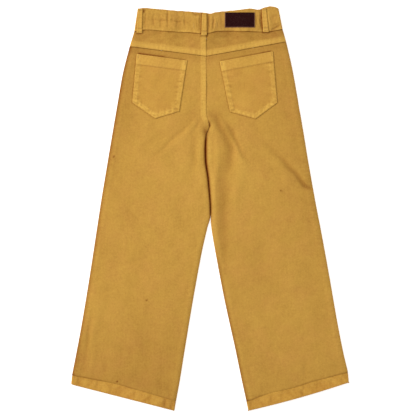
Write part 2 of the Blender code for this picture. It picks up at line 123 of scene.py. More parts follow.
# belt loops on the back: top and low end
backLoops = dict(
    belt_loop_back_left=np.array([(-121.4, 349.0), (-123.4, 306.6)]),
    belt_loop_back_centre=np.array([(-9.8, 340.4), (-10.2, 301.5)]),
    belt_loop_back_right=np.array([(94.3, 349.6), (97.9, 308.0)]),
)
loopSize = dict(width=10.6, topWidth=8.8, wall=1.2, frontOffset=64.0, frontInset=1.5)

# creases of the back: points along each, its width, and its rise (troughs sink)
creases = [
    # right leg, fanning out from the crotch
    ([(-6, 171), (8, 158.5), (17.5, 140), (28.5, 125), (37, 103), (36.5, 82), (33, 64)], 7.4, -2.3),
    ([(0, 172), (13, 160), (23, 140)], 6.0, -0.8),
    ([(31, 96), (26, 70), (24, 45), (24.5, 6), (24.5, -50), (23, -125)], 9.4, -1.8),
    ([(-8.5, 150), (-8.5, 130)], 5.0, -1.0),
    ([(8, 141), (13.3, 120), (12.5, 93.8), (10, 50), (7, -2.5)], 5.5, 1.2),
    ([(32, 140), (42, 121), (49, 99), (52, 71), (48, 32.6), (43, -11.2)], 10.0, 1.3),
    ([(44, 118), (58, 84), (68, 52)], 10.0, 1.2),
    ([(12.3, 172.6), (26, 156), (34, 146), (43, 126), (54.5, 106), (68, 85)], 3.4, -0.9),
    ([(30, 150), (36, 137), (48, 112), (58, 94), (69, 80)], 4.2, -1.7),
    ([(52, 142), (66, 118.3), (78, 97)], 7.0, 0.6),
    # the slanting crease to the right side seam
    ([(90, 121), (99, 113), (114, 98), (131, 81), (149, 62)], 5.0, -0.95),
    ([(124, 88), (132, 80), (147.5, 63.5), (158.5, 47), (165.5, 39), (190, 31)], 4.2, -1.9),
    ([(150, 59), (158, 48), (165.5, 39), (192, 31)], 3.4, -1.3),
    ([(134, 100), (152, 76), (167, 54)], 6.0, 0.6),
    ([(98, 97), (124, 70), (144, 38), (156, 26)], 8.0, 0.9),
    # left leg
    ([(-15.8, 168), (-30, 157), (-44, 139), (-62, 125.5), (-84, 102), (-105, 87)], 3.4, -0.85),
    ([(-24, 150), (-44, 126), (-64, 111), (-84, 90)], 6.0, 0.65),
    ([(-12, 184), (-30, 168), (-48, 148), (-60, 134)], 8.0, -0.6),
    ([(-78.8, 132.3), (-101.5, 118.3), (-122.5, 100.8)], 6.0, -0.5),
    ([(-27, 140), (-29, 110), (-28.5, 84), (-30, 60)], 6.5, -0.8),
    ([(-18, 128.8), (-18.6, 102.6), (-17, 71), (-15, 32.6)], 4.6, 0.9),
    ([(-12.3, 160.3), (-21, 148), (-28, 134)], 3.0, -0.7),
    ([(-14, 196), (-34, 172)], 3.0, -0.35),
    ([(4, 180), (16, 192), (26, 200)], 3.5, -0.35),
    # small ones below and beside the pockets
    ([(70, 150), (92, 131)], 5.0, -0.5),
    ([(128, 172), (143, 160)], 3.6, -0.5),
    ([(124, 162), (140, 151)], 3.6, 0.4),
    ([(-152, 184), (-138, 172)], 3.2, -0.5),
    ([(-150, 176), (-134, 163)], 3.2, 0.4),
    ([(-146, 168), (-128, 155)], 3.2, -0.35),
    # long soft ones down the legs
    ([(-128, 120), (-96, 60)], 20.0, 0.5),
    ([(-60, 60), (-48, -40)], 16.0, -0.45),
    ([(-150, 20), (-120, -70)], 20.0, -0.5),
    ([(-100, -90), (-70, -190)], 22.0, 0.6),
    ([(-196, -140), (-202, -200), (-210, -262)], 8.0, 0.5),
    ([(-184, -170), (-194, -215), (-202, -262)], 7.0, -0.35),
    ([(-204, -180), (-212, -215), (-216, -245), (-224, -288)], 4.2, -1.1),
    ([(-220, -226), (-226, -258), (-233, -291)], 3.0, -0.9),
    ([(-200, -242), (-206, -286)], 4.0, 0.6),
    ([(-184, -262), (-187, -296)], 4.0, -0.4),
    ([(-92, -296), (-84, -326)], 5.0, -0.6),
    ([(-76, -300), (-70, -330)], 4.0, -0.5),
    ([(64, -327), (84, -331), (100, -326)], 2.6, -0.9),
    ([(66, -318), (88, -321)], 3.0, 0.4),
    ([(-130, -160), (-110, -270)], 18.0, -0.45),
    ([(-208, -148), (-160, -139)], 5.0, -0.4),
    ([(-150, -94), (-104, -84)], 6.0, -0.35),
    ([(-190, -238), (-150, -246), (-112, -240)], 6.0, -0.4),
    ([(96, -30), (150, -18)], 6.0, -0.35),
    ([(120, -150), (176, -141)], 7.0, -0.35),
    ([(168, -262), (166, -298)], 4.5, -0.7),
    ([(186, -256), (190, -286)], 5.0, 0.4),
    ([(84, -40), (96, -170)], 20.0, -0.45),
    ([(130, -60), (150, -200)], 22.0, 0.6),
    ([(92, -252), (104, -296)], 10.0, -0.45),
    ([(74, -250), (82, -300)], 8.0, 0.45),
    ([(180, -120), (200, -230)], 15.0, -0.45),
]


def mix(a, b, share):
    return a + (b - a) * share


def unit(value):
    return np.clip(value, 0.0, 1.0)


def ease(t):
    t = unit(t)
    return t * t * (3.0 - 2.0 * t)


def bell(distance, width):
    return np.exp(-((distance / width) ** 2))


def cubic(knots, values, at):
    # a smooth value at each place, on a cubic through the knots
    at = np.clip(at, knots[0], knots[-1])
    i = np.clip(np.searchsorted(knots, at, side="right") - 1, 0, len(knots) - 2)
    order = np.arange(len(knots))
    before, after = np.maximum(order - 1, 0), np.minimum(order + 1, len(knots) - 1)
    slopes = (values[after] - values[before]) / (knots[after] - knots[before])
    width = knots[i + 1] - knots[i]
    t = (at - knots[i]) / width
    a, b = values[i], values[i + 1]
    da, db = slopes[i] * width, slopes[i + 1] * width
    return a + t * (da + t * (3 * (b - a) - 2 * da - db + t * (2 * (a - b) + da + db)))


seamY, topX, topY = [partial(cubic, waistRows[:, 0], waistRows[:, column]) for column in (1, 2, 3)]


def legValue(column, innerY):
    return cubic(-legRows[:, 0], legRows[:, legColumn[column]], -innerY)


def legPoint(row, side, edge):
    # where a row of the legs meets a side seam (Outer) or an inseam (Inner)
    return legRows[row, [legColumn[side + edge + "X"], legColumn.get(side + edge + "Y", 0)]]


def legEdges(side, innerY, gap):
    # the side seam, and the inseam with its share of the gap between the legs
    kept = gap * ease((innerY - fit["gapFades"]) / (fit["legsPart"] - fit["gapFades"]))
    leftX = legValue("leftInnerX", innerY) - kept / 2
    rightX = np.maximum(legValue("rightInnerX", innerY) + kept / 2, leftX + kept)
    innerX = leftX if side == "left" else rightX
    return legValue(side + "OuterX", innerY), legValue(side + "OuterY", innerY), innerX


def fromLine(x, y, a, b):
    # distance from the line through a and b, with a sign for the side of it
    across = np.array([b[1] - a[1], a[0] - b[0]]) / np.hypot(*(b - a))
    return (x - a[0]) * across[0] + (y - a[1]) * across[1]


def creaseHeight(x, y, table):
    # how far the creases of a table lift or sink the cloth at each place
    total = np.zeros_like(x)
    for points, width, rise in table:
        points = np.array(points, float)
        steps = np.diff(points, axis=0)
        runs = np.hypot(*steps.T)
        begins = np.cumsum(runs) - runs
        nearest, reached = np.full_like(x, 1000.0), np.zeros_like(x)
        for start, step, run, begin in zip(points, steps, runs, begins):
            share = unit(((x - start[0]) * step[0] + (y - start[1]) * step[1]) / run ** 2)
            away = np.hypot(x - start[0] - share * step[0], y - start[1] - share * step[1])
            reached = np.where(away < nearest, begin + share * run, reached)
            nearest = np.minimum(nearest, away)
        total += rise * np.sin(math.pi * mix(0.06, 0.94, reached / runs.sum())) * bell(nearest, width)
    return total


edgeRound = dict(radius=1.3, steps=4)  # how an edge of cloth rounds off


def edgeSpaced(share, count, width):
    # distances across a piece, close together where its two edges round off
    steps, radius = edgeRound["steps"], edgeRound["radius"]
    close = radius * (1.0 - np.cos(np.linspace(0.0, math.pi / 2, steps + 1)))
    index = np.round(share * count)
    near = np.interp(index, np.arange(steps + 1), close)
    far = width - np.interp(count - index, np.arange(steps + 1), close)
    middle = mix(radius, width - radius, (index - steps) / (count - 2 * steps))
    return np.where(index < steps, near, np.where(index > count - steps, far, middle))


def roll(distance, radius=fit["edgeRoll"]):
    # the quarter round by which the cloth rises from a side seam
    t = 1.0 - unit(distance / radius)
    return np.sqrt(1.0 - t * t)


def rounding(distance):
    # 1 on the rim of a piece, 0 where its edge has rounded off
    return 1.0 - roll(distance, edgeRound["radius"])


def uneven(x, y, size, seed):
    # a soft irregular relief, about -1 to 1, from crossing waves
    rng = np.random.default_rng(seed)
    total = np.zeros_like(x)
    for wave in range(7):
        heading = rng.uniform(0.0, turn)
        length = size * rng.uniform(0.6, 1.7)
        phase = rng.uniform(0.0, turn)
        total += np.sin((x * math.cos(heading) + y * math.sin(heading)) * turn / length + phase)
    return total / 3.0


def puckers(along, pitch, seed):
    # ripples along a seam, uneven in depth and spacing
    bend = 1.4 * np.sin(along / (pitch * 0.71) + seed) + 0.9 * np.sin(along / (pitch * 1.9) + 2.1 * seed)
    swell = 0.6 + 0.4 * np.sin(along / (pitch * 1.13) + 1.7 * seed)
    return swell * np.sin(turn * along / pitch + bend)


def linked(name, data):
    # an object that is in the scene
    made = bpy.data.objects.new(name, data)
    bpy.context.scene.collection.objects.link(made)
    return made


def ridden(name, mesh, material):
    # a piece on the part's only body
    mesh.materials.append(material)
    piece = linked(name, mesh)
    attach(piece, "root")
    return piece


def clothPiece(name, stands, spec, shape, slot, grain=0.0, closed=False):
    # a grid of cloth moved to shape(across, down), with its weave, its wear and painted highlights, and its
    # painted shade and dark marks
    grid = bmesh.new()
    bmesh.ops.create_grid(grid, x_segments=spec["columns"], y_segments=spec["rows"], size=1.0)
    grid.loops.layers.uv.new("weave")
    mesh = bpy.data.meshes.new(name)
    grid.to_mesh(mesh)
    grid.free()
    flat = np.empty(len(mesh.vertices) * 3)
    mesh.vertices.foreach_get("co", flat)
    flat = flat.reshape(-1, 3)
    x, y, z, wearAndHighlight, shade = shape((flat[:, 0] + 1.0) / 2.0, (1.0 - flat[:, 1]) / 2.0)
    place = np.stack([x, y, z], axis=1) * mm
    mesh.vertices.foreach_set("co", place.ravel())
    for label, values in (("wearAndHighlight", wearAndHighlight), ("shade", shade)):
        layer = mesh.attributes.new(label, "FLOAT", "POINT")
        layer.data.foreach_set("value", unit(values + np.zeros_like(x)).astype(np.float32))
    corner = np.empty(len(mesh.loops), dtype=np.int32)
    mesh.loops.foreach_get("vertex_index", corner)
    cosine, sine = math.cos(grain), math.sin(grain)
    weave = place[:, :2] @ np.array([(cosine, -sine), (sine, cosine)])  # the warp runs along the grain
    mesh.uv_layers["weave"].data.foreach_set("uv", weave[corner].ravel().astype(np.float32))
    mesh.update()
    if closed:
        welded = bmesh.new()
        welded.from_mesh(mesh)
        bmesh.ops.remove_doubles(welded, verts=welded.verts[:], dist=0.00002)
        welded.to_mesh(mesh)
        welded.free()
    faceOutward(mesh)
    mesh.shade_smooth()
    piece = ridden(name, mesh, cloths[slot])
    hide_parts(stands)
    solid = piece.modifiers.new("cloth", "SOLIDIFY")
    solid.thickness = spec["wall"] * mm
    solid.offset = -1.0
    return piece


def faceOutward(mesh):
    # back pieces face up and front pieces down, away from the middle of the garment
    middle = 2.2 * mm
    outward = sum(face.normal.z * face.area * (face.center.z - middle) for face in mesh.polygons)
    if outward < 0.0:
        mesh.flip_normals()
    mesh.update()


def surface(*pieces):
    # the height of the highest of some pieces at a place, seen from above
    bpy.context.view_layer.update()
    graph = bpy.context.evaluated_depsgraph_get()
    trees = [BVHTree.FromObject(piece, graph) for piece in pieces]
    down = Vector((0.0, 0.0, -1.0))

    def height(x, y):
        start = Vector((x * mm, y * mm, 1.0))
        hits = [tree.ray_cast(start, down)[0] for tree in trees]
        return max([hit.z / mm for hit in hits if hit] or [0.0])

    return height


def heights(height, x, y):
    return np.array([height(a, b) for a, b in zip(x, y)])


# finishes

def linear(red, green, blue):
    # a colour read as 0 to 255 on a screen, as the light that it gives back
    shares = [c / 255.0 for c in (red, green, blue)]
    return tuple(s / 12.92 if s <= 0.04045 else ((s + 0.055) / 1.055) ** 2.4 for s in shares) + (1.0,)


finish = dict(
    body=linear(190, 144, 64),
    pocket=linear(191, 143, 63),
    hem=linear(194, 142, 60),
    ruddy=(1.04, 0.955, 1.12, 1.0),  # how the dye warms in places
    # pale: what wear, painted highlights and random lightening mix toward
    pale=linear(228, 182, 85),
    # deep: what painted shade and random dark mottling mix toward
    deep=linear(104, 38, 0),
    thread=linear(214, 165, 76),
    labelRed=linear(31, 5, 10),
    labelPale=linear(168, 120, 96),
    brass=linear(150, 118, 66),
)


def newGroup(name, inputs, outputs):
    # a shader node group, from the labels of its sockets and their kinds
    tree = bpy.data.node_groups.new(name, "ShaderNodeTree")
    for way, sockets in (("INPUT", inputs), ("OUTPUT", outputs)):
        for label, kind in sockets.items():
            tree.interface.new_socket(name=label, in_out=way, socket_type="NodeSocket" + kind)
    return tree, tree.nodes.new("NodeGroupInput").outputs, tree.nodes.new("NodeGroupOutput")


def feed(tree, target, sources):
    for socket, source in sources.items():
        if isinstance(source, bpy.types.NodeSocket):
            tree.links.new(source, target.inputs[socket])
        else:
            target.inputs[socket].default_value = source


def node(tree, kind, sources, **settings):
    made = tree.nodes.new(kind)
    for label, value in settings.items():
        setattr(made, label, value)
    feed(tree, made, sources)
    return made


def maths(tree, operation, *values):
    return node(tree, "ShaderNodeMath", dict(enumerate(values)), operation=operation).outputs[0]


def arithmetic(tree, *operations):
    # some operations of maths, ready for use in one tree
    return [partial(maths, tree, operation) for operation in operations]


def blendColour(tree, share, first, second, blend="MIX"):
    colours = {0: share, 6: first, 7: second}
    return node(tree, "ShaderNodeMix", colours, data_type="RGBA", blend_type=blend).outputs[2]


def noise(tree, vector, scale, detail=3.0, roughness=0.5):
    settings = {"Vector": vector, "Scale": scale, "Detail": detail, "Roughness": roughness}
    return node(tree, "ShaderNodeTexNoise", settings).outputs["Fac"]


def bumped(tree, height, strength, distance):
    values = {"Strength": strength, "Distance": distance, "Height": height}
    return node(tree, "ShaderNodeBump", values).outputs["Normal"]


def twillGroup():
    # diagonal ribs and the threads that cross them, in metres of cloth
    kinds = dict(Vector="Vector", Pitch="Float")
    tree, given, result = newGroup("twillWeave", kinds, dict(Height="Float", Rib="Float"))
    plus, times, fused, sine = arithmetic(tree, "ADD", "MULTIPLY", "MULTIPLY_ADD", "SINE")
    axes = node(tree, "ShaderNodeSeparateXYZ", {0: given["Vector"]}).outputs
    rate = maths(tree, "DIVIDE", turn, given["Pitch"])
    slubs = noise(tree, given["Vector"], 260.0)
    slant = plus(axes["Y"], times(axes["X"], 1.6))
    rib = fused(sine(plus(times(slant, rate), times(slubs, 3.0))), 0.5, 0.5)
    thread = fused(sine(times(times(axes["X"], rate), 1.9)), 0.5, 0.5)
    feed(tree, result, {"Height": fused(thread, 0.3, times(rib, 0.7)), "Rib": rib})
    return tree


def dyeAndPaintedLightGroup():
    # a garment dye that took unevenly, mixed toward pale by wear and painted highlights, and toward deep by
    # painted shade
    kinds = dict(Vector="Vector", Body="Color", Pale="Color", Deep="Color",
                 WearAndHighlight="Float", Shade="Float", Rib="Float", Uneven="Float")
    tree, given, result = newGroup("dyeAndPaintedLight", kinds, dict(Color="Color", Roughness="Float"))
    plus, minus, times, fused, larger = arithmetic(
        tree, "ADD", "SUBTRACT", "MULTIPLY", "MULTIPLY_ADD", "MAXIMUM")
    place = given["Vector"]
    drawn = node(tree, "ShaderNodeMapping", {"Vector": place, "Scale": (420.0, 30.0, 30.0)}).outputs[0]
    clouds, patches = noise(tree, place, 14.0), noise(tree, place, 55.0, roughness=0.6)
    grain, tones = noise(tree, place, 340.0, roughness=0.7), noise(tree, place, 24.0, roughness=0.6)
    streaks = noise(tree, drawn, 1.0, 2.0)
    total = plus(fused(clouds, 0.40, times(patches, 0.45)), times(grain, 1.5))
    total = plus(total, times(streaks, 0.35))
    swing = times(minus(total, 1.35), given["Uneven"])
    lift = times(larger(swing, 0.0), 0.55)
    sink = times(larger(times(swing, -1.0), 0.0), 0.42)
    # random lift, the weave's ribs, and wear with painted highlights mix toward pale
    pale = plus(plus(lift, times(minus(given["Rib"], 0.5), 0.12)), given["WearAndHighlight"])
    tone = times(minus(tones, 0.42), 2.2)
    ruddy = blendColour(tree, 1.0, given["Body"], finish["ruddy"], "MULTIPLY")
    colour = blendColour(tree, tone, given["Body"], ruddy)
    colour = blendColour(tree, pale, colour, given["Pale"])
    # random sink and painted shade mix toward deep
    colour = blendColour(tree, plus(sink, given["Shade"]), colour, given["Deep"])
    feed(tree, result, {"Color": colour, "Roughness": fused(grain, 0.12, 0.8)})
    return tree


weaveTree = twillGroup()
dyeAndPaintedLightTree = dyeAndPaintedLightGroup()


def newMaterial(name):
    material = bpy.data.materials.new(name)
    material.use_nodes = True
    tree = material.node_tree
    place = node(tree, "ShaderNodeTexCoord", {}).outputs["Object"]
    return material, tree, tree.nodes["Principled BSDF"], place


def clothMaterial(name, body, pitch=0.0009, uneven=1.0, bump=0.35, pale="pale", gloss=0.04, sheen=0.02):
    material, tree, shader, place = newMaterial(name)
    across = node(tree, "ShaderNodeUVMap", {}, uv_map="weave").outputs["UV"]
    weave = node(tree, "ShaderNodeGroup", {"Vector": across, "Pitch": pitch}, node_tree=weaveTree)
    wearAndHighlight, shade = [node(tree, "ShaderNodeAttribute", {}, attribute_name=layer).outputs["Fac"]
                   for layer in ("wearAndHighlight", "shade")]
    # the dye group, which also mixes in painted shade and painted highlights
    dyeAndLight = node(tree, "ShaderNodeGroup", {
        "Vector": place, "Body": finish[body], "Pale": finish[pale], "Deep": finish["deep"],
        "WearAndHighlight": wearAndHighlight, "Shade": shade, "Rib": weave.outputs["Rib"], "Uneven": uneven,
    }, node_tree=dyeAndPaintedLightTree)
    feed(tree, shader, {
        "Base Color": dyeAndLight.outputs["Color"], "Roughness": dyeAndLight.outputs["Roughness"],
        "Normal": bumped(tree, weave.outputs["Height"], bump, 0.00025),
        "Specular IOR Level": gloss, "Sheen Weight": sheen, "Sheen Roughness": 0.6,
        "Sheen Tint": finish["pale"],
    })
    return material


def plainMaterial(name, colour, roughness, metallic, bump, scale):
    # thread and metal: one colour that varies a little, with a fine relief
    material, tree, shader, place = newMaterial(name)
    spots = noise(tree, place, scale, roughness=0.6)
    darker = tuple(c * 0.72 for c in colour[:3]) + (1.0,)
    feed(tree, shader, {
        "Base Color": blendColour(tree, spots, darker, colour), "Metallic": metallic,
        "Roughness": maths(tree, "MULTIPLY_ADD", spots, 0.2, roughness),
        "Normal": bumped(tree, spots, bump, 0.0002),
    })
    return material


cloths = dict(
    twill=clothMaterial("twill", "body"),
    pocket_twill=clothMaterial("pocket_twill", "pocket", uneven=0.9),
    hem_twill=clothMaterial("hem_twill", "hem", uneven=1.3),
    label_weave=clothMaterial("label_weave", "labelRed", pitch=0.0006, uneven=0.5, bump=0.2,
                              pale="labelPale", gloss=0.02, sheen=0.0),
)
threadFinish = plainMaterial("thread", finish["thread"], 0.55, 0.0, 0.5, 1800.0)
brassFinish = plainMaterial("button_metal", finish["brass"], 0.28, 1.0, 0.15, 900.0)
print("jeans: finishes made")


# painted shade, and places darker or paler, on more than one piece

# broad places: x, y, half width, half height and how much darker (or paler, below nought)
broadPatches = [
    (-140, 256, 22, 50, 0.055), (-163, 146, 14, 24, 0.03), (-154, 195, 14, 26, 0.04),
    (-166, 32, 16, 32, 0.04), (116, 225, 24, 60, 0.045), (189, -64, 26, 46, 0.05),
    (44, 85, 9, 20, 0.04), (70, 36, 26, 46, -0.05), (-114, -37, 40, 32, -0.03),
    (-73, -160, 34, 50, 0.05), (-79, -256, 30, 40, 0.05), (-128, -291, 32, 28, 0.07),
    (-192, -305, 26, 10, 0.08), (-90, -336, 30, 8, 0.08), (61, -274, 24, 42, 0.06),
    (45, -195, 12, 40, 0.05), (56, 190, 20, 22, -0.05), (-188, -36, 16, 60, 0.06),
    (-35, 336, 13, 16, 0.10), (44, 342, 12, 5, -0.05), (18, 298, 9, 8, -0.09), (70, 319, 16, 6, 0.10),
]

# painted shade darkening to the side seams, where the cloth falls away, from a level up
outerShade = dict(
    left=dict(most=0.15, width=30.0, low=20.0, rise=110.0),
    right=dict(most=0.11, width=36.0, low=-90.0, rise=120.0),
)

# painted shade in the gap over a pocket mouth: least, how much more, from which x and over what width
mouthShade = dict(left=(0.22, 0.68, -72.0, 14.0), right=(0.14, 0.20, 84.0, 16.0))

# the seam over each hem, from the side seam to the inseam: share of the way, rise, and darkness of the
# painted shade in its groove
hemSeam = dict(
    left=[(0.0, 1.5, 0.9), (0.16, 2.8, 0.9), (0.25, 3.6, 0.9), (0.34, 5.0, 0.4), (0.46, 5.6, 0.4),
          (0.55, 4.4, 0.7), (0.63, 4.2, 0.25), (0.72, 3.5, 0.3), (0.86, 2.4, 0.35), (1.0, 1.6, 0.4)],
    right=[(0.0, 2.5, 1.0), (0.12, 3.2, 1.0), (0.2, 3.4, 0.5), (0.28, 3.4, 0.85), (0.36, 3.8, 0.9),
           (0.43, 2.8, 0.85), (0.51, 2.2, 0.45), (0.62, 2.6, 0.5), (0.74, 4.6, 0.25), (0.85, 3.2, 0.2),
           (0.9, 2.0, 0.9), (1.0, 0.8, 1.0)],
)

# painted shadow on the cloth at the left and at the right of each belt loop
loopShade = dict(
    belt_loop_back_left=(0.2, 0.1),
    belt_loop_back_centre=(1.3, 0.7),
    belt_loop_back_right=(1.2, 0.1),
)


def withBroadPatches(x, y, wearAndHighlight, shade, share=1.0):
    # wear and highlight, and shade, with the broad darker and paler places added
    total = share * sum(amount * bell(np.hypot((x - patchX) / wide, (y - patchY) / tall), 1.0)
                        for patchX, patchY, wide, tall, amount in broadPatches)
    return wearAndHighlight + 2.5 * unit(-total), shade + unit(total)


def mouthDark(side, x):
    # how strong the painted shade over a pocket mouth is, along x
    least, more, start, wide = mouthShade[side]
    return least + more * ease(signs[side] * (x - start) / wide)


def hemSeamAt(side, share):
    shares, rises, darks = zip(*hemSeam[side])
    return np.interp(share, shares, rises), np.interp(share, shares, darks)


def nearLoop(x, y):
    # painted shadow on the cloth beside and below each belt loop on the back
    total = np.zeros_like(x)
    for name, ((highX, highY), (lowX, lowY)) in backLoops.items():
        share = unit((highY - y) / (highY - lowY))
        middle = mix(highX, lowX, share)
        beside = np.abs(np.abs(x - middle) - mix(loopSize["topWidth"], loopSize["width"], share) / 2 - 0.3)
        dark = np.where(x < middle, *loopShade[name])
        total += dark * bell(beside, 1.6) * ease((y - lowY + 3.0) / 3.0)
        total += bell(y - lowY + 0.8, 1.2) * ease((loopSize["width"] / 2 + 1.5 - np.abs(x - middle)) / 2.0)
    return np.clip(total, 0.0, 1.3)


def pocketShadow(side, x, y):
    # painted shadow: the dark line round a pocket, and the deeper one in the gap over its mouth
    corners = pocketCorners[side]
    outside = np.full_like(x, -1000.0)
    for a, b in zip(corners, np.roll(corners, -1, axis=0)):
        inward = np.sign(fromLine(*corners.mean(axis=0), a, b))
        outside = np.maximum(outside, -inward * fromLine(x, y, a, b))
    topOuter, topInner = corners[:2]
    rise = (topInner - topOuter) / np.hypot(*(topInner - topOuter)) * -signs[side]
    above = (y - topOuter[1]) * rise[0] - (x - topOuter[0]) * rise[1]
    firstX, lastX = sorted([topOuter[0], topInner[0]])
    within = ease((x - firstX) / 5.0) * ease((lastX - x) / 5.0)
    rim = mix(0.36, 0.12, ease((x - corners[3][0]) / 20.0))  # fainter towards the right of the tip
    mouth = 0.46 * bell(above - 0.5, 0.9) + 0.62 * bell(above - 0.9, 2.0) * mouthDark(side, x)
    return rim * bell(outside - 0.4, 0.9) * ease((0.5 - above) / 2.0) + mouth * within


# back legs

backLegs = dict(columns=92, rows=300, wall=1.0, seeds=dict(left=3, right=8), allowance=12.0, lowGap=0.08,
                cut=(0.205, 0.650), area=0.112)
grains = dict(left=math.radians(-9.5), right=math.radians(9.5))
flecks = [(-168.2, 90.7), (124.1, 31.2), (-111.0, -160.0), (-162.1, -302.2)]  # small dark slubs

# the meeting of the two legs, by the level: how dark its painted shade is and how wide. A hook at the crotch,
# a paler stretch over the folded seam end, then the long crevice down to where the legs part
creviceDark = ([-24.0, -8.0, 50.0, 80.0, 120.0, 131.0, 141.0, 144.0, 151.0, 155.0],
               [0.0, 0.85, 0.9, 1.0, 0.95, 0.25, 0.2, 0.75, 0.65, 0.0])
creviceWide = ([-20.0, 50.0, 100.0, 128.0, 140.0], [1.8, 2.3, 2.8, 2.4, 1.6])


def acrossLeg(across, count, outerX, outerY, innerX, innerY):
    # places across a leg, with how far each is from the side seam and from the inseam
    width = np.hypot(innerX - outerX, innerY - outerY)
    fromOuter = edgeSpaced(across, count, width)
    share = fromOuter / width
    return mix(outerX, innerX, share), mix(outerY, innerY, share), fromOuter, width - fromOuter


def backUnder(y, fromOuter, fromInner, sewn):
    # underside of the back cloth over the ground
    crown = mix(fit["legUnder"], fit["seatUnder"], ease((y - fit["seatEnds"]) / fit["seatEnds"]))
    return mix(fit["edgeUnder"], crown, roll(fromOuter) * mix(roll(fromInner), 1.0, sewn))


def backLeg(side):
    spec, isLeft = backLegs, side == "left"
    seed = spec["seeds"][side]
    top = legRows[yokeRow, 0] - fit["seamGap"]
    bottom = legRows[hemRow, 0] + spec["lowGap"]

    def shape(across, down):
        fromTop = edgeSpaced(down, spec["rows"], top - bottom)
        innerY = top - fromTop
        fromBottom = innerY - bottom
        gap = mix(0.1, fit["legGap"], ease((fit["crotch"] - 8.0 - innerY) / fit["fell"]))
        outerX, outerY, innerX = legEdges(side, innerY, gap)
        x, y, fromOuter, fromInner = acrossLeg(across, spec["columns"], outerX, outerY, innerX, innerY)
        seamRise, seamDark = hemSeamAt(side, fromOuter / (fromOuter + fromInner))
        y += seamRise * np.exp(-fromBottom / 20.0)
        sewn = ease((innerY - fit["crotch"]) / fit["fell"])  # 1 where the seat's seam joins the legs
        calm = ease(fromOuter / 5.0) * mix(ease(fromInner / 5.0), 1.0, sewn)  # 0 on the seams

        # folds, the cloth's own unevenness, and ripples along the seams
        wander = 1.1 * uneven(x, y, 40.0, seed + 5)
        crease = creaseHeight(x + wander, y + wander, creases) * calm
        crease *= mix(1.0, ease(fromInner / fit["fell"] + 0.1), sewn)
        soft = 0.22 * uneven(x, y, 48.0, seed) + 0.10 * uneven(x, y, 15.0, seed + 1)
        soft += 0.05 * uneven(x, y, 7.0, seed + 2)
        sideRipple, inRipple = puckers(y, 8.5, seed), puckers(y, 9.5, seed + 2.0)
        fellRipple = puckers(y, 7.0, 5.0)
        allowance = ease((spec["allowance"] + 1.5 - fromOuter) / 3.0) * calm
        inAllowance = ease((spec["allowance"] - fromInner) / 3.0) * calm * (1.0 - sewn)
        relief = crease + soft * calm
        relief += allowance * (0.28 + 0.16 * sideRipple) + inAllowance * (0.22 + 0.16 * inRipple)
        relief += 0.22 * puckers(x, 10.0, seed + 4.0) * np.exp(-fromBottom / 9.0) * calm
        relief -= 0.25 * np.exp(-fromTop / 5.0) * calm
        fell = isLeft * ease((fit["fell"] + 0.6 - fromInner) / 1.4) * sewn  # over the seam of the seat
        fell *= ease((y - fit["crotch"] + 6.0) / 8.0)
        relief += fell * (0.65 + 0.14 * fellRipple)

        # heights, rounded off at the edges
        plain = backUnder(y, fromOuter, fromInner, sewn) + fit["cloth"]
        high = np.maximum(plain + relief, fit["edgeUnder"] + fit["cloth"])
        high -= rounding(fromOuter) * (high - fit["edgeUnder"])
        parted = 1.0 - ease((innerY - 124.0) / 14.0)  # how far the two legs stand apart
        high -= rounding(fromInner) * mix(0.3, high - fit["edgeUnder"], parted)
        high -= (rounding(fromTop) * 0.15 + rounding(fromBottom) * 0.25) * calm

        # paler on seam allowances, with painted highlights on crease ridges; painted shade in folds, seam
        # grooves, the crevice between the legs, round the pocket and towards the side seams
        wearAndHighlight = 0.10 * np.clip(crease, 0.0, 2.0) + 0.14 * allowance * (0.5 + 0.5 * sideRipple)
        wearAndHighlight += 0.14 * inAllowance + fell * (0.42 + 0.16 * fellRipple)
        wearAndHighlight += 0.11 * bell(np.hypot((x + 42.0) / 58.0, (y - 62.0) / 120.0), 1.0)
        shade = 0.34 * bell(fromTop, 0.7) + 0.15 * bell(fromTop - 4.0, 8.0)
        shade += 0.13 * np.clip(-crease, 0.0, 2.4)
        shade += bell(fromInner, np.interp(innerY, *creviceWide)) * np.interp(innerY, *creviceDark)
        shade += 0.16 * sewn * bell(fromInner, 0.9) * (0.3 + 0.7 * ease((y - 172.0) / 20.0))
        # painted shade in the fold at the crotch
        shade += 0.52 * bell(np.hypot(x + 8.0, (y - 134.0) * 0.7), 5.0)  # the hook at the crotch
        shade += 0.30 * bell(fromBottom - 0.4, 2.0) * seamDark + 0.06 * ease((fromTop - 540.0) / 60.0)
        shade += 0.06 * (1.0 - sewn) * bell(fromInner, 4.0) + pocketShadow(side, x, y)
        # painted shade towards the side seam
        sideShade = outerShade[side]
        shade += sideShade["most"] * bell(fromOuter, sideShade["width"]) * ease((y - sideShade["low"]) / sideShade["rise"])
        # painted shade along the edges that face the lamp, where the cloth rolls away; the left leg darker
        # towards its hem too
        if isLeft:
            shade += 0.50 * bell(fromOuter, 4.4) + 0.09 * ease((-165.0 - y) / 90.0)
        else:
            shade += 0.45 * bell(fromInner, 4.4) * ease((-innerY - 40.0) / 90.0)
        wearAndHighlight, shade = withBroadPatches(x, y, wearAndHighlight, shade)
        shade += 0.9 * sum(bell(np.hypot(x - fleckX, y - fleckY), 1.5) for fleckX, fleckY in flecks)
        return x, y, high, wearAndHighlight, shade

    return clothPiece("back_panel_" + side, "back_" + side, spec, shape, "twill", grains[side])


legPieces = {side: backLeg(side) for side in sides}
print("jeans: back legs laid")


# yokes

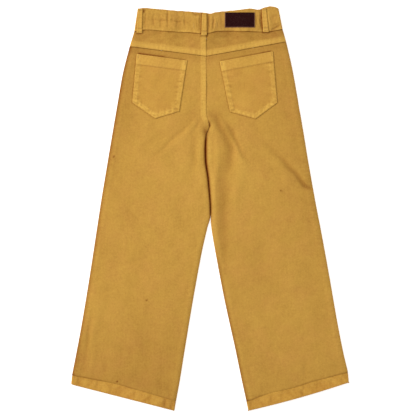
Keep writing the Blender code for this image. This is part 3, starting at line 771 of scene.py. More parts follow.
yokes = dict(columns=84, rows=30, wall=1.0, seeds=dict(left=21, right=27), grain=math.radians(-4.0),
             plain=dict(left=0.12, right=0.17), cut=(0.140, 0.050), area=0.0050)
yokeCreases = [
    ([(4, 300), (18, 296), (34, 297)], 2.2, -0.7),
    ([(2, 290), (14, 286), (30, 288)], 2.2, -0.6),
    ([(2, 283), (16, 277)], 2.4, -0.4),
    ([(40, 300), (62, 296)], 3.0, -0.4),
    ([(-16, 297), (-34, 300)], 2.2, -0.5),
    ([(-60, 300), (-86, 303)], 2.6, -0.4),
    ([(-98, 296), (-122, 300)], 2.4, -0.5),
    ([(-104, 303), (-126, 307)], 2.2, 0.5),
    ([(80, 304), (93, 300.5), (108, 306.5)], 2.0, -0.9),
    ([(84, 298.5), (98, 295.5), (110, 301)], 2.2, 0.6),
    ([(86, 294.5), (102, 293)], 2.2, -0.4),
    ([(104, 308), (122, 309)], 2.0, -0.5),
    ([(106, 298), (128, 300)], 2.4, 0.4),
]
button = dict(diameter=15.0, height=2.0)


def swelling(x, centre, flat, shoulder):
    # 1 on a flat stretch round a centre, sinking to 0 over a shoulder on each side
    return 1.0 - ease((np.abs(x - centre) - flat) / shoulder)


def waistLift(x):
    # how far the front waistband is held off the ground by its button and loops
    aboveButton, aboveLoop = button["height"] + fit["seamGap"], loopSize["wall"] + fit["seamGap"]
    total = aboveButton * swelling(x, fit["centre"], button["diameter"] / 2 + 1.5, 18.0)
    for away in signs.values():
        middle = fit["centre"] + away * loopSize["frontOffset"]
        total = total + aboveLoop * swelling(x, middle, loopSize["width"] / 2 + 1.0, 12.0)
    return total


def waistBackUnder(x):
    # underside of the back of the waistband, over its lapped front
    lap = swelling(x, fit["centre"], fit["frontLap"] + 5.0, fit["lapShoulder"])
    return fit["bandWall"] + fit["ringHollow"] + waistLift(x) + (fit["bandWall"] + fit["seamGap"]) * lap


def yoke(side):
    spec, seed = yokes, yokes["seeds"][side]
    outerX = waistEnds[side][0]
    centreX = fit["centre"] + signs[side] * fit["seamGap"] / 2
    lowX, lowY = legPoint(yokeRow, side, "Outer")
    width = abs(centreX - outerX)

    def shape(across, down):
        fromOuter = edgeSpaced(across, spec["columns"], width)
        fromCentre = width - fromOuter
        share = fromOuter / width
        highX = mix(outerX, centreX, share)
        highY = seamY(highX) - fit["seamGap"] / 2
        seamX, seamLow = mix(lowX, centreX, share), mix(lowY, legRows[yokeRow, 0], share)
        depth = np.hypot(seamX - highX, seamLow - highY)
        fromWaist = edgeSpaced(down, spec["rows"], depth)
        fromSeam = depth - fromWaist
        x, y = mix(highX, seamX, fromWaist / depth), mix(highY, seamLow, fromWaist / depth)
        calm = ease(fromOuter / 5.0)
        fell = ease((fit["fell"] + 0.5 - fromSeam) / 1.2)  # the felled seam over the leg
        middle = (side == "left") * ease((fit["fell"] + 0.5 - fromCentre) / 1.2)  # and down the centre
        relief = 0.20 * uneven(x, y * 1.8, 26.0, seed) + 0.45 * middle + creaseHeight(x, y, yokeCreases)
        fan = bell(np.hypot((x - fit["centre"]) * 0.5, y - 296.0), 9.0)
        relief += 0.5 * fan * puckers(y + 0.5 * np.abs(x - fit["centre"]), 7.0, 2.0)
        relief = relief * (1.0 - fell) + fell * (0.72 + 0.10 * puckers(x, 8.0, seed))
        relief += 0.25 * puckers(x, 11.0, seed) * np.exp(-fromWaist / 9.0)
        crown = mix(waistBackUnder(x), fit["seatUnder"], ease(fromWaist / depth))
        high = mix(fit["edgeUnder"], crown, roll(fromOuter)) + fit["cloth"] + relief * calm
        high -= rounding(fromOuter) * (high - fit["edgeUnder"])
        high -= rounding(fromCentre) * 0.25 + rounding(fromSeam) * 0.30 + rounding(fromWaist) * 0.1
        # paler on the felled bands, with random mottling; painted shade in the seam grooves, under the
        # waistband, beside the loops and towards the side seam, and a darker strip below the band left of the
        # label
        smear = uneven(x, y * 2.2, 24.0, seed + 3)
        bright = ease((fit["fell"] + 4.0 - fromSeam) / 7.0)
        wearAndHighlight = bright * (0.36 + 0.12 * puckers(x, 8.0, seed)) + 0.30 * middle
        wearAndHighlight += 0.10 * ease((13.0 - fromOuter) / 3.0) + 0.08 * unit(smear) * (1.0 - fell)
        shade = 0.40 * bell(fromWaist, 0.7) + 0.44 * bell(fromSeam, 0.6) + 0.20 * bell(fromCentre, 0.8)
        shade += (spec["plain"][side] + 0.09 * unit(-smear)) * (1.0 - bright) * (1.0 - middle)
        shade += 0.10 * bell(fromWaist, 9.0) * (1.0 - bright) + 0.30 * nearLoop(x, y)
        shade += outerShade[side]["most"] * bell(fromOuter, outerShade[side]["width"] * 0.7)
        shade += 0.07 * ease((x - 2.0) / 8.0) * ease((60.0 - x) / 30.0) * bell(fromWaist - 5.0, 6.0)
        return x, y, high, *withBroadPatches(x, y, wearAndHighlight, shade)

    grain = spec["grain"] * signs[side]
    return clothPiece("yoke_piece_" + side, "yoke_" + side, spec, shape, "twill", grain)


yokePieces = {side: yoke(side) for side in sides}
print("jeans: yokes laid")


# rings: the waistband and the hems

def turnStations(sideX, towards, high):
    # the outer face round a folded side, from the ground up
    radius = high / 2
    angles = np.linspace(-math.pi / 2, math.pi / 2, 11)
    return sideX + towards * radius * (1.0 - np.cos(angles)), radius * (1.0 + np.sin(angles))


def ringPiece(name, stands, spec, stationX, stationZ, place, slot, grain=0.0, closed=False):
    # a band round a flattened ring; place() says how far each point sinks into the ring
    alongX, alongZ = np.gradient(stationX), np.gradient(stationZ)
    size = np.hypot(alongX, alongZ)
    outX, outZ = -alongZ / size, alongX / size
    if closed:
        outX[-1], outZ[-1] = outX[0], outZ[0]
    count = len(stationX) - 1

    def shape(across, down):
        index = np.round(across * count).astype(int)
        sx, sz, nx, nz = stationX[index], stationZ[index], outX[index], outZ[index]
        x, y, inward, lift, wearAndHighlight, shade = place(sx, sz, nz, down)
        return x - nx * inward, y, sz - nz * inward + lift, wearAndHighlight, shade

    return clothPiece(name, stands, dict(spec, columns=count), shape, slot, grain, closed)


waist = dict(rows=28, backColumns=230, frontColumns=60, wall=1.9,
             tacks={-28.5: 318.5, 12.0: 320.0},  # x and y of its bar tacks
             cut=(0.560, 0.042), area=0.0220)
waistDips = [(1.0, 6.0, 2.0), (84.5, 8.0, 3.4)]  # where the top edge sags: x, width and depth
waistCreases = [
    ([(-114, 331.5), (-93, 330), (-74, 329), (-56, 327), (-33.6, 326)], 1.4, -0.36),
    ([(-110, 341), (-82, 339.5), (-46, 335)], 1.4, -0.24),
    ([(-73.5, 348), (-74.4, 332), (-73, 314)], 1.4, -0.5),
    ([(-69.5, 346), (-70, 322)], 2.2, 0.3),
    ([(-98, 344), (-99.4, 330), (-98, 318)], 1.5, -0.22),
    ([(-87, 336), (-86, 313)], 1.5, -0.22),
    ([(-44.3, 343), (-45, 329), (-43, 314)], 1.4, -0.36),
    ([(-58.6, 330), (-57, 312)], 1.5, -0.22),
    ([(-31, 341), (-18, 337)], 1.6, -0.6),
    ([(-23.5, 330), (-22.5, 312)], 1.4, -0.45),
    ([(-18, 342), (-18.4, 308)], 1.8, -0.7),
    ([(-2.6, 340), (-2.4, 310)], 1.8, -0.7),
    ([(6.1, 336), (6.6, 324), (5, 311)], 1.4, -0.6),
    ([(9.6, 334), (9.4, 314)], 1.8, 0.25),
    ([(19.7, 342), (20.4, 318)], 1.8, -0.26),
    ([(-112.4, 347), (-113.6, 314)], 1.6, -0.3),
    ([(87.4, 346), (90.4, 312)], 1.5, -0.9),
    ([(80.4, 344), (81.4, 314)], 1.5, -0.3),
    ([(101.6, 347), (106.2, 313)], 2.6, 0.5),
    ([(105.9, 311), (114, 316), (124.5, 321.5)], 1.5, -0.9),
    ([(108, 320.5), (124, 325)], 1.6, -0.4),
    ([(107, 336), (118, 338)], 1.8, -0.3),
]


def frontDrop(x):
    # how far the front of the waist lies below the back
    share = (x - (waistRight + waistLeft) / 2) / ((waistRight - waistLeft) / 2)
    return fit["frontDrop"] * (1.0 - share * share)


def waistband():
    # one strip from the lapped end at the centre front, round the back, to the other end
    spec = waist
    lapTip, lapUnder = fit["centre"] + fit["frontLap"], fit["centre"] - fit["frontLap"]
    high = waistBackUnder(waistLeft) + fit["bandWall"]
    leftX, leftZ = turnStations(waistLeft, 1.0, high)
    rightX, rightZ = [part[::-1] for part in turnStations(waistRight, -1.0, high)]
    firstX = np.linspace(lapTip, leftX[0], spec["frontColumns"] + 1)[:-1]
    backX = np.linspace(leftX[-1], rightX[0], spec["backColumns"] + 1)[1:-1]
    lastX = np.linspace(rightX[-1], lapUnder, spec["frontColumns"] + 1)[1:]
    climb = 1.0 - ease((lastX - lapTip - 1.5) / 10.0)
    lastZ = waistLift(lastX) + (fit["bandWall"] + fit["seamGap"]) * climb
    backZ = waistBackUnder(backX) + fit["bandWall"]
    stationX = np.concatenate([firstX, leftX, backX, rightX, lastX])
    stationZ = np.concatenate([waistLift(firstX), leftZ, backZ, rightZ, lastZ])

    def place(sx, sz, nz, down):
        depth = np.hypot(topX(sx) - sx, topY(sx) - seamY(sx))
        fromTop = edgeSpaced(down, spec["rows"], depth)
        fromSeam = depth - fromTop
        share = fromTop / depth
        inFront = sz < waistBackUnder(sx)
        back = np.where(inFront, 0.0, ease((nz - 0.7) / 0.3))
        wave = 0.26 * uneven(sx, 0.0 * sx, 16.0, 38)
        wave -= sum(sag * bell(sx - dip, size) for dip, size, sag in waistDips)
        x = mix(topX(sx), sx, share)
        y = mix(topY(sx), seamY(sx), share) - np.where(inFront, frontDrop(sx), 0.0)
        y += wave * back * (1.0 - share)
        wandered = [along + 0.8 * uneven(x, y, 12.0, seed) for along, seed in ((x, 34), (y, 35))]
        relief = 2.1 * creaseHeight(*wandered, waistCreases)
        relief += 0.16 * uneven(x, y * 0.6, 18.0, 31) + 0.12 * uneven(x, y * 1.3, 6.0, 32)
        relief += 0.14 * puckers(sx, 6.0, 1.0) * np.exp(-fromTop / 5.0)
        relief += 0.14 * puckers(sx, 7.0, 2.0) * np.exp(-fromSeam / 6.0) - 0.16 * bell(fromSeam - 2.4, 1.0)
        for mark in spec["tacks"]:
            pull = puckers(sx + 0.3 * y, 5.0, mark)
            relief += 0.14 * bell(sx - mark, 9.0) * pull * bell(fromTop - 22.0, 10.0)
        relief = relief * back + (1.0 - back) * 0.05 * puckers(sx, 8.0, 3.0)
        inward = rounding(fromTop) * 0.9 + rounding(fromSeam) * 0.22 - relief
        # paler by the stitches, with painted highlights on ridges; painted shade in the seam groove, at the
        # top edge, in creases, beside the loops and in the notch by the left loop's top
        seamStrength = np.clip(0.7 + 0.5 * uneven(sx, y * 0.2, 22.0, 36), 0.2, 1.2)
        wearAndHighlight = (0.56 * bell(fromSeam - 2.2, 1.0) + 0.14 * bell(fromTop - 8.0, 3.0)) * seamStrength
        wearAndHighlight += 0.24 * unit(relief)
        shade = 0.58 * bell(fromSeam, 0.7) * (1.5 - seamStrength) + 0.12 * bell(fromTop, 2.0)
        shade += 0.34 * unit(-relief) + back * 0.55 * nearLoop(x, y)
        shade += back * 0.8 * bell(np.hypot((x + 115.6) * 1.4, y - 345.0), 3.0)
        return x, y, inward, 0.0, *withBroadPatches(x, y, wearAndHighlight, shade, back)

    return ringPiece("waistband_piece", "waistband", spec, stationX, stationZ, place, "twill")


bandPiece = waistband()
print("jeans: waistband laid")

hems = dict(rows=12, backColumns=130, frontColumns=70, wall=1.5, seeds=dict(left=41, right=47), rope=9.0,
            bow=dict(left=0.0, right=-2.4),  # how far the middle of the edge rises
            cut=(0.385, 0.018), area=0.0064)
# small dents across the hems, with painted shade in them: x, width and depth
hemMarks = dict(
    left=[(-229.0, 2.4, 0.5), (-196.0, 2.2, 0.45), (-172.0, 2.0, 0.2), (-131.0, 2.4, 0.45),
          (-104.0, 2.0, 0.3), (-78.0, 3.2, 0.8), (-66.0, 2.2, 0.4)],
    right=[(72.0, 2.4, 0.4), (108.5, 2.2, 0.4), (127.0, 2.4, 0.4), (163.0, 2.4, 0.5), (188.0, 2.0, 0.25),
           (213.5, 2.4, 0.4), (232.0, 2.0, 0.3)],
)


def hem(side):
    spec, seed, isLeft = hems, hems["seeds"][side], side == "left"
    (seamOuter, seamInner), (edgeOuter, edgeInner) = [
        [legPoint(row, side, edge) for edge in ("Outer", "Inner")] for row in (hemRow, edgeRow)]
    width = np.hypot(*(edgeInner - edgeOuter))
    high = 2 * fit["hemWall"] + fit["ringHollow"]
    outerX, outerZ = turnStations(0.0, 1.0, high)
    innerX, innerZ = [part[::-1] for part in turnStations(width, -1.0, high)]
    backX = np.linspace(outerX[-1], innerX[0], spec["backColumns"] + 1)[1:-1]
    frontX = np.linspace(innerX[-1], outerX[0], spec["frontColumns"] + 1)[1:]
    stationX = np.concatenate([outerX, backX, innerX, frontX])
    stationZ = np.concatenate([outerZ, np.full_like(backX, high), innerZ, np.zeros_like(frontX)])

    def place(sx, sz, nz, down):
        share = (sx / width)[:, None]
        back = ease((nz - 0.5) / 0.5)
        seamRise, seamDark = hemSeamAt(side, share[:, 0])
        topPoint = mix(seamOuter, seamInner, share)
        topPoint[:, 1] += seamRise * back
        lowPoint = mix(edgeOuter, edgeInner, share)
        lowPoint[:, 1] += spec["bow"][side] * np.sin(math.pi * share[:, 0])
        depth = np.hypot(*(topPoint - lowPoint).T)
        fromSeam = edgeSpaced(down, spec["rows"], depth)
        fromEdge = depth - fromSeam
        x, y = mix(topPoint, lowPoint, (fromSeam / depth)[:, None]).T
        slant = sx + 0.75 * fromSeam  # the hem twists a little, and so ropes aslant
        rope = uneven(slant, fromSeam * 0.4, spec["rope"], seed)
        patch = uneven(slant * 0.9, fromSeam * 0.3, spec["rope"] * 2.6, seed + 2)
        nick = sum(sunk * bell(x + 0.15 * fromSeam - mark, size) for mark, size, sunk in hemMarks[side])
        inside = ease(fromSeam / 3.0) * ease(fromEdge / 2.0)
        relief = (0.22 * rope + 0.16 * patch - 0.9 * nick) * inside - 0.12 * bell(fromSeam - 1.8, 1.0)
        relief = relief * back + (1.0 - back) * 0.04 * rope
        inward = rounding(fromEdge) * 0.85 + rounding(fromSeam) * 0.25 - relief
        # paler roping and patches; painted shade in the seam groove, at the folded edge and in the dents,
        # darker towards the inseam and on the left hem
        wearAndHighlight = 0.14 + 0.12 * (np.clip(rope, -1.0, 1.0) + np.clip(patch, -1.0, 1.0)) * inside
        wearAndHighlight += 0.16 * bell(fromSeam - 3.2, 1.8)
        shade = 0.26 * bell(fromSeam, 1.2) * seamDark + 0.10 * bell(fromEdge, 1.2)
        shade += (0.34 * nick + 0.10 * unit(-patch)) * inside + 0.15 * ease((sx - width + 44.0) / 40.0)
        shade += isLeft * (0.07 + 0.05 * ease((60.0 - sx) / 30.0))
        return x, y, inward, (1.0 - back) * 0.1, wearAndHighlight, shade

    return ringPiece("hem_band_" + side, "hem_" + side, spec, stationX, stationZ, place, "hem_twill",
                     grains[side], closed=True)


hemPieces = {side: hem(side) for side in sides}
print("jeans: hems laid")


# patch pockets

pockets = dict(columns=80, rows=96, wall=0.9, seeds=dict(left=51, right=58), border=8.2, mouth=17.5,
               cut=(0.096, 0.118), area=0.0092)


def pocket(side):
    spec, seed = pockets, pockets["seeds"][side]
    topOuter, topInner, lowInner, tip, lowOuter = pocketCorners[side]
    edges = ((topOuter, topInner), (topOuter, lowOuter), (topInner, lowInner),
             (lowOuter, tip), (tip, lowInner))
    panelHeight = surface(legPieces[side])
    width = np.hypot(*(topInner - topOuter))
    length = np.hypot(*(tip - (topOuter + topInner) / 2))

    def shape(across, down):
        share = (edgeSpaced(across, spec["columns"], width) / width)[:, None]
        drop = (edgeSpaced(down, spec["rows"], length) / length)[:, None]
        low = np.where(share < 0.5, mix(lowOuter, tip, share * 2), mix(tip, lowInner, share * 2 - 1))
        x, y = mix(mix(topOuter, topInner, share), low, drop).T
        fromTop, fromOuter, fromInner, *fromLows = [np.abs(fromLine(x, y, a, b)) for a, b in edges]
        fromSides, fromLow = np.minimum(fromOuter, fromInner), np.minimum(*fromLows)
        fromEdge = np.minimum(fromSides, fromLow)
        border = ease((spec["border"] + 0.8 - fromEdge) / 1.6)
        mouthBand = ease((spec["mouth"] + 0.6 - fromTop) / 1.2)
        below = 1.0 - mouthBand
        sidePucker = 0.5 * puckers(y, 8.6, seed + (fromOuter < fromInner) * 1.3)
        sidePucker += 0.6 * uneven(x * 0.3, y, 7.0, seed + 1)
        lowPucker = 0.5 * puckers(x, 7.4, seed + 3.0) + 0.6 * uneven(x, y * 0.4, 7.0, seed + 2)
        inSides, inLow = bell(fromSides - 7.0, 6.5) * below, bell(fromLow - 6.0, 6.0) * below
        relief = 0.26 * border * below + 0.34 * mouthBand
        relief += 0.34 * sidePucker * inSides + 0.24 * lowPucker * inLow
        relief += 0.12 * uneven(x, y, 26.0, seed) + 0.25 * ease(fromEdge / 30.0)
        relief -= 0.25 * bell(fromTop - spec["mouth"] - 0.6, 1.1)
        gaping = (0.7 + 1.1 * mouthDark(side, x)) * np.sin(math.pi * share[:, 0])  # the mouth stands off
        relief += gaping * np.exp(-fromTop / 9.0)
        high = heights(panelHeight, x, y) + 0.2 + spec["wall"] + relief
        high -= rounding(fromEdge) * (0.8 + relief * 0.8) + rounding(fromTop) * 0.5
        # paler borders, mouth band and corners, with painted highlights on the pucker ridges; painted shade
        # at the rim, in the stitched grooves and in the pucker valleys
        speckle = uneven(x, y, 5.0, seed + 3)
        ends = (0.9 * ease((10.5 - fromInner) / 3.0) + 0.6 * bell(fromOuter, 5.5)) * mouthBand
        wearAndHighlight = (0.24 + 0.12 * speckle) * border * below + (0.22 + 0.06 * speckle) * mouthBand
        wearAndHighlight += 0.14 * bell(fromEdge - 7.4, 1.6) * below + 0.16 * bell(fromEdge - 2.0, 1.2) + 0.45 * ends
        wearAndHighlight += 0.16 * bell(fromLow - 3.4, 3.0) * (0.8 + 0.6 * speckle)
        wearAndHighlight += 0.26 * unit(sidePucker) * inSides + 0.20 * unit(lowPucker) * inLow
        wearAndHighlight += 0.10 * unit(uneven(x, y, 30.0, seed + 6)) * (1.0 - border) * below
        shade = 0.20 * bell(fromEdge, 0.5) + 0.14 * bell(fromTop, 0.6)
        shade += 0.20 * bell(fromTop - spec["mouth"] - 0.8, 1.1)
        shade += 0.22 * unit(-sidePucker) * inSides + 0.14 * unit(-lowPucker) * inLow
        return x, y, high, *withBroadPatches(x, y, wearAndHighlight, shade)

    return clothPiece("patch_pocket_" + side, "pocket_" + side, spec, shape, "pocket_twill",
                      grains[side] * 0.4)


pocketPieces = {side: pocket(side) for side in sides}
print("jeans: pockets laid")


# belt loops on the back

loops = dict(columns=16, rows=56, wall=1.0, frontWall=0.9, tacked=8.0)


def backLoop(name, ends):
    spec = loops
    (highX, highY), (lowX, lowY) = ends
    height = surface(bandPiece, *yokePieces.values())
    length = math.hypot(highX - lowX, highY - lowY)

    def shape(across, down):
        fromTop = edgeSpaced(down, spec["rows"], length)
        fromLow = length - fromTop
        width = mix(loopSize["topWidth"], loopSize["width"], fromTop / length)
        side = edgeSpaced(across, spec["columns"], width)
        fromSide = np.minimum(side, width - side)
        x = mix(highX, lowX, fromTop / length) + side - width / 2
        y = mix(highY, lowY, fromTop / length)
        near = [heights(height, x, y + aside) for aside in (0.0, 2.0, -2.0)]
        tacked = ease((spec["tacked"] - fromTop) / 2.0) + ease((spec["tacked"] - fromLow) / 2.0)
        ripple = puckers(y, 6.0, highX)
        high = np.max(near, axis=0) + 0.12 + spec["wall"] + 0.25 * tacked + 0.10 * ripple
        high += 0.2 * np.sin(math.pi * fromTop / length) + 0.15 * bell(fromSide - 2.2, 1.0)
        high -= rounding(fromSide) * 1.3 + (rounding(fromTop) + rounding(fromLow)) * 1.1
        wearAndHighlight = 0.30 + 0.10 * ripple + 0.2 * bell(fromLow - 3.0, 2.4)
        # painted shade at the rounded edges and in the fold by the low tack
        shade = 0.5 * bell(fromSide, 0.6) + 0.5 * bell(fromLow, 0.8) + 0.3 * bell(fromTop, 0.8)
        return x, y, high, wearAndHighlight, shade + 0.25 * bell(fromLow - 8.5, 0.9)

    return clothPiece(name.replace("belt_loop", "loop"), name, spec, shape, "pocket_twill")


loopPieces = [backLoop(name, ends) for name, ends in backLoops.items()]
print("jeans: belt loops laid")


# label on the waistband, bare

tag = dict(left=25.7, right=78.5, top=342.6, bottom=316.2, columns=60, rows=32, wall=0.7, over=0.9, rim=0.9)


def waistLabel():
    spec = tag
    height = surface(bandPiece)
    width, length = spec["right"] - spec["left"], spec["top"] - spec["bottom"]

    def shape(across, down):
        side = edgeSpaced(across, spec["columns"], width)
        fromTop = edgeSpaced(down, spec["rows"], length)
        x, y = spec["left"] + side, spec["top"] - fromTop
        fromHem = np.minimum(np.minimum(side, width - side), length - fromTop)
        high = heights(height, x, y) + fit["trimGap"] + spec["over"] + 0.12 * uneven(x, y, 24.0, 61)
        high -= rounding(np.minimum(fromHem, fromTop)) * 0.9
        return x, y, high, 0.55 * ease((spec["rim"] + 0.4 - fromHem) / 0.6), 0.0

    return clothPiece("waistband_label", "label", spec, shape, "label_weave")


labelPiece = waistLabel()
print("jeans: label laid")


# front legs, hidden: plain, with the pocket scoops and shallow creases

frontLegs = dict(columns=56, scoopRows=24, rows=170, wall=0.9, seeds=dict(left=71, right=77), scoopWidth=62.0,
                 scoopDepth=64.0, scoopEnds=math.radians(78), cut=(0.175, 0.660), area=0.098)
frontCreases = [
    ([(-10, 150), (-34, 136), (-58, 118)], 8.0, 0.6),
    ([(-4, 150), (20, 134), (44, 112)], 8.0, 0.6),
    ([(-30, 110), (-34, -40)], 11.0, 0.5),
    ([(30, 100), (36, -60)], 11.0, 0.5),
    ([(-150, 60), (-90, 20)], 10.0, 0.5),
    ([(150, 80), (100, 30)], 10.0, 0.5),
    ([(-120, -80), (-100, -220)], 16.0, 0.4),
    ([(120, -70), (140, -230)], 16.0, 0.4),
    ([(-60, -110), (-80, -200)], 12.0, 0.35),
    ([(70, -140), (84, -240)], 12.0, 0.35),
]


def frontTopY(x, gap=fit["waistGap"]):
    return seamY(x) - frontDrop(x) - gap


def sidePoint(side, depth):
    # a place on the front's side seam, so far below the waist
    start, end = waistEnds[side], legPoint(scoopRow, side, "Outer")
    share = depth / (start[1] - end[1])
    return mix(start[0], end[0], share), mix(start[1], end[1], share)


def scoopPoint(side, angle, inset):
    # a place on the curved mouth of a front pocket
    depth = (frontLegs["scoopDepth"] - inset) * np.sin(angle)
    reach = (frontLegs["scoopWidth"] - inset) * np.cos(angle)
    x = sidePoint(side, depth)[0] - signs[side] * reach
    return x, frontTopY(x) - depth


def frontLeg(side):
    spec, seed = frontLegs, frontLegs["seeds"][side]
    centreX = legPoint(yokeRow, side, "Inner")[0] + signs[side] * fit["seamGap"] / 2
    topLevel, lowLevel = frontTopY(centreX), legRows[scoopRow, 0] + 6.0
    top, bottom = legRows[scoopRow, 0] - fit["seamGap"], legRows[hemRow, 0] + fit["seamGap"]
    scoops, rows = spec["scoopRows"], spec["rows"]
    last = scoops + 1 + rows

    def shape(across, down):
        # rows down the scoop, one row at its end, then rows down the leg
        index = np.round(down * last)
        angle = np.minimum(index / scoops, 1.0) * spec["scoopEnds"]
        level = mix(top, bottom, unit((index - scoops - 1) / rows))
        legX, legY, legInner = legEdges(side, level, 0.0)
        atScoop = (*scoopPoint(side, angle, 0.0), centreX, mix(topLevel, lowLevel, np.sin(angle)))
        atEnd = (*sidePoint(side, spec["scoopDepth"] + fit["waistGap"]), centreX, lowLevel - 2.0)
        atLeg = (legX, legY, legInner, level)
        outerX, outerY, innerX, innerY = [
            np.select([index <= scoops, index == scoops + 1], choices, below)
            for *choices, below in zip(atScoop, atEnd, atLeg)]
        x, y, fromOuter, fromInner = acrossLeg(across, spec["columns"], outerX, outerY, innerX, innerY)
        y = np.where(index == 0, frontTopY(x), y)
        calm = ease(fromOuter / 6.0) * ease(fromInner / 6.0)
        relief = creaseHeight(x, y, frontCreases) + 0.10 + 0.10 * uneven(x, y, 40.0, seed)
        high = fit["frontFace"] + np.clip(relief, 0.0, 0.7) * calm
        curl = np.maximum(rounding(fromOuter), rounding(fromInner) * (innerY < fit["crotch"]))
        high += curl * (fit["cloth"] - 0.1 - high)
        # painted shade on the inseam's edge, seen through the gap between the back legs
        crevice = ease((innerY + 20.0) / 14.0) * ease((fit["crotch"] + 4.0 - innerY) / 14.0)
        crevice *= 0.7 * bell(fromInner, 2.2)
        wearAndHighlight = 0.14 * ease((12.0 - np.minimum(fromOuter, fromInner)) / 3.0) * (1.0 - crevice)
        return x, y, high, wearAndHighlight, crevice + 0.1 * unit(relief)

    return clothPiece("front_panel_" + side, "front_" + side, dict(spec, rows=last), shape, "twill",
                      grains[side])


frontPieces = {side: frontLeg(side) for side in sides}

facings = dict(columns=24, rows=24, wall=0.9, inset=0.8, cut=(0.066, 0.068), area=0.0030)


def pocketFacing(side):
    spec = facings

    def shape(across, down):
        angle = down * frontLegs["scoopEnds"]
        depth = (frontLegs["scoopDepth"] - spec["inset"]) * np.sin(angle)
        edgeX, edgeY = sidePoint(side, depth + fit["waistGap"])
        scoopX, scoopY = scoopPoint(side, angle, spec["inset"])
        x, y = mix(edgeX, scoopX, across), mix(edgeY, scoopY, across)
        y = np.where(down < 0.5 / spec["rows"], frontTopY(x), y)
        high = fit["frontFace"] + 0.08 * (1.0 + uneven(x, y, 22.0, 81)) / 2.0
        high += rounding(np.hypot(x - edgeX, y - edgeY)) * (fit["cloth"] - 0.1 - high)
        # painted shade along the scoop edge
        return x, y, high, 0.08, 0.2 * bell(across - 1.0, 0.08)

    return clothPiece("scoop_facing_" + side, "pocket_facing_" + side, spec, shape, "twill")


facingPieces = {side: pocketFacing(side) for side in sides}

shield = dict(width=34.0, length=100.0, columns=18, rows=50, wall=1.0, cut=(0.036, 0.102))


def flyShield():
    spec = shield
    topLevel = frontTopY(fit["centre"], fit["waistGap"] * 2)

    def shape(across, down):
        side = edgeSpaced(across, spec["columns"], spec["width"])
        fromEdge = np.minimum(side, spec["width"] - side)
        x = fit["centre"] - spec["width"] / 2 + side
        y = topLevel - edgeSpaced(down, spec["rows"], spec["length"])
        high = fit["edgeUnder"] + 1.1 + 0.05 * uneven(x, y, 18.0, 91) - rounding(fromEdge) * 0.6
        # painted shade at the rounded edges
        return x, y, high, 0.1, 0.15 * bell(fromEdge, 1.0)

    return clothPiece("fly_shield_piece", "fly_shield", spec, shape, "twill")


shieldPiece = flyShield()


def frontLoop(side):
    spec, width = dict(loops, wall=loops["frontWall"]), loopSize["width"]
    middle = fit["centre"] + signs[side] * loopSize["frontOffset"]
    highY = topY(middle) - frontDrop(middle) - loopSize["frontInset"]
    length = highY - frontTopY(middle, 0.0) - loopSize["frontInset"]

    def shape(across, down):
        sideways = edgeSpaced(across, spec["columns"], width)
        fromTop = edgeSpaced(down, spec["rows"], length)
        fromSide = np.minimum(sideways, width - sideways)
        x, y = middle - width / 2 + sideways, highY - fromTop
        high = 0.12 + 0.05 * (1.0 + puckers(y, 6.0, middle))
        high += (rounding(fromSide) + rounding(fromTop) + rounding(length - fromTop)) * 0.9
        # painted shade at the rounded edges
        return x, y, np.minimum(high, 1.1), 0.3, 0.3 * bell(fromSide, 0.6)

    return clothPiece("loop_front_" + side, "belt_loop_front_" + side, spec, shape, "pocket_twill")


for side in sides:
    frontLoop(side)


def waistButton():
    # a turned disc with a raised rim and a domed middle, facing the ground
    centreY = (topY(fit["centre"]) + seamY(fit["centre"])) / 2 - frontDrop(fit["centre"])
    radius, tall = button["diameter"] / 2, button["height"]
    profile = [(0.0, 0.35), (2.6, 0.32), (4.2, 0.5), (4.9, 0.62), (5.4, 0.3), (6.1, 0.04), (6.8, 0.05),
               (7.3, 0.35), (radius, 0.9), (7.35, 1.5), (6.7, tall - 0.15), (3.0, tall), (0.0, tall)]
    disc = bmesh.new()
    verts = [disc.verts.new((r * mm, 0.0, z * mm)) for r, z in profile]
    for a, b in zip(verts, verts[1:]):
        disc.edges.new((a, b))
    bmesh.ops.spin(disc, geom=disc.verts[:] + disc.edges[:], cent=(0, 0, 0), axis=(0, 0, 1),
                   angle=turn, steps=48, use_merge=True)
    bmesh.ops.remove_doubles(disc, verts=disc.verts[:], dist=0.000005)
    bmesh.ops.recalc_face_normals(disc, faces=disc.faces[:])
    bmesh.ops.translate(disc, verts=disc.verts[:], vec=(fit["centre"] * mm, centreY * mm, 0.0))
    mesh = bpy.data.meshes.new("waist_button_piece")
    disc.to_mesh(mesh)
    disc.free()
    mesh.shade_smooth()
    mesh.set_sharp_from_angle(angle=math.radians(40))
    piece = ridden("waist_button_piece", mesh, brassFinish)
    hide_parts("waist_button")


waistButton()
print("jeans: hidden front laid")


# sewing: every stitch is a small oval of thread that lies on the cloth

stitch = dict(
    run=dict(pitch=2.7, length=2.2, width=0.5, high=0.34, crosswise=False),
    tack=dict(pitch=0.75, length=2.6, width=0.5, high=0.17, crosswise=True),
    rows=(1.8, 7.9),  # two rows on each felled seam, from its edge
)


def walk(points, pitch):
    # places and directions at even steps along a line of points
    points = np.array(points, float)
    steps = np.diff(points, axis=0)
    runs = np.hypot(*steps.T)
    reach = np.concatenate([[0.0], np.cumsum(runs)])
    count = max(1, round(reach[-1] / pitch))
    at = (np.arange(count) + 0.5) * reach[-1] / count
    x, y = np.interp(at, reach, points[:, 0]), np.interp(at, reach, points[:, 1])
    i = np.clip(np.searchsorted(reach, at) - 1, 0, len(runs) - 1)
    return zip(x, y, *(steps / runs[:, None])[i].T)


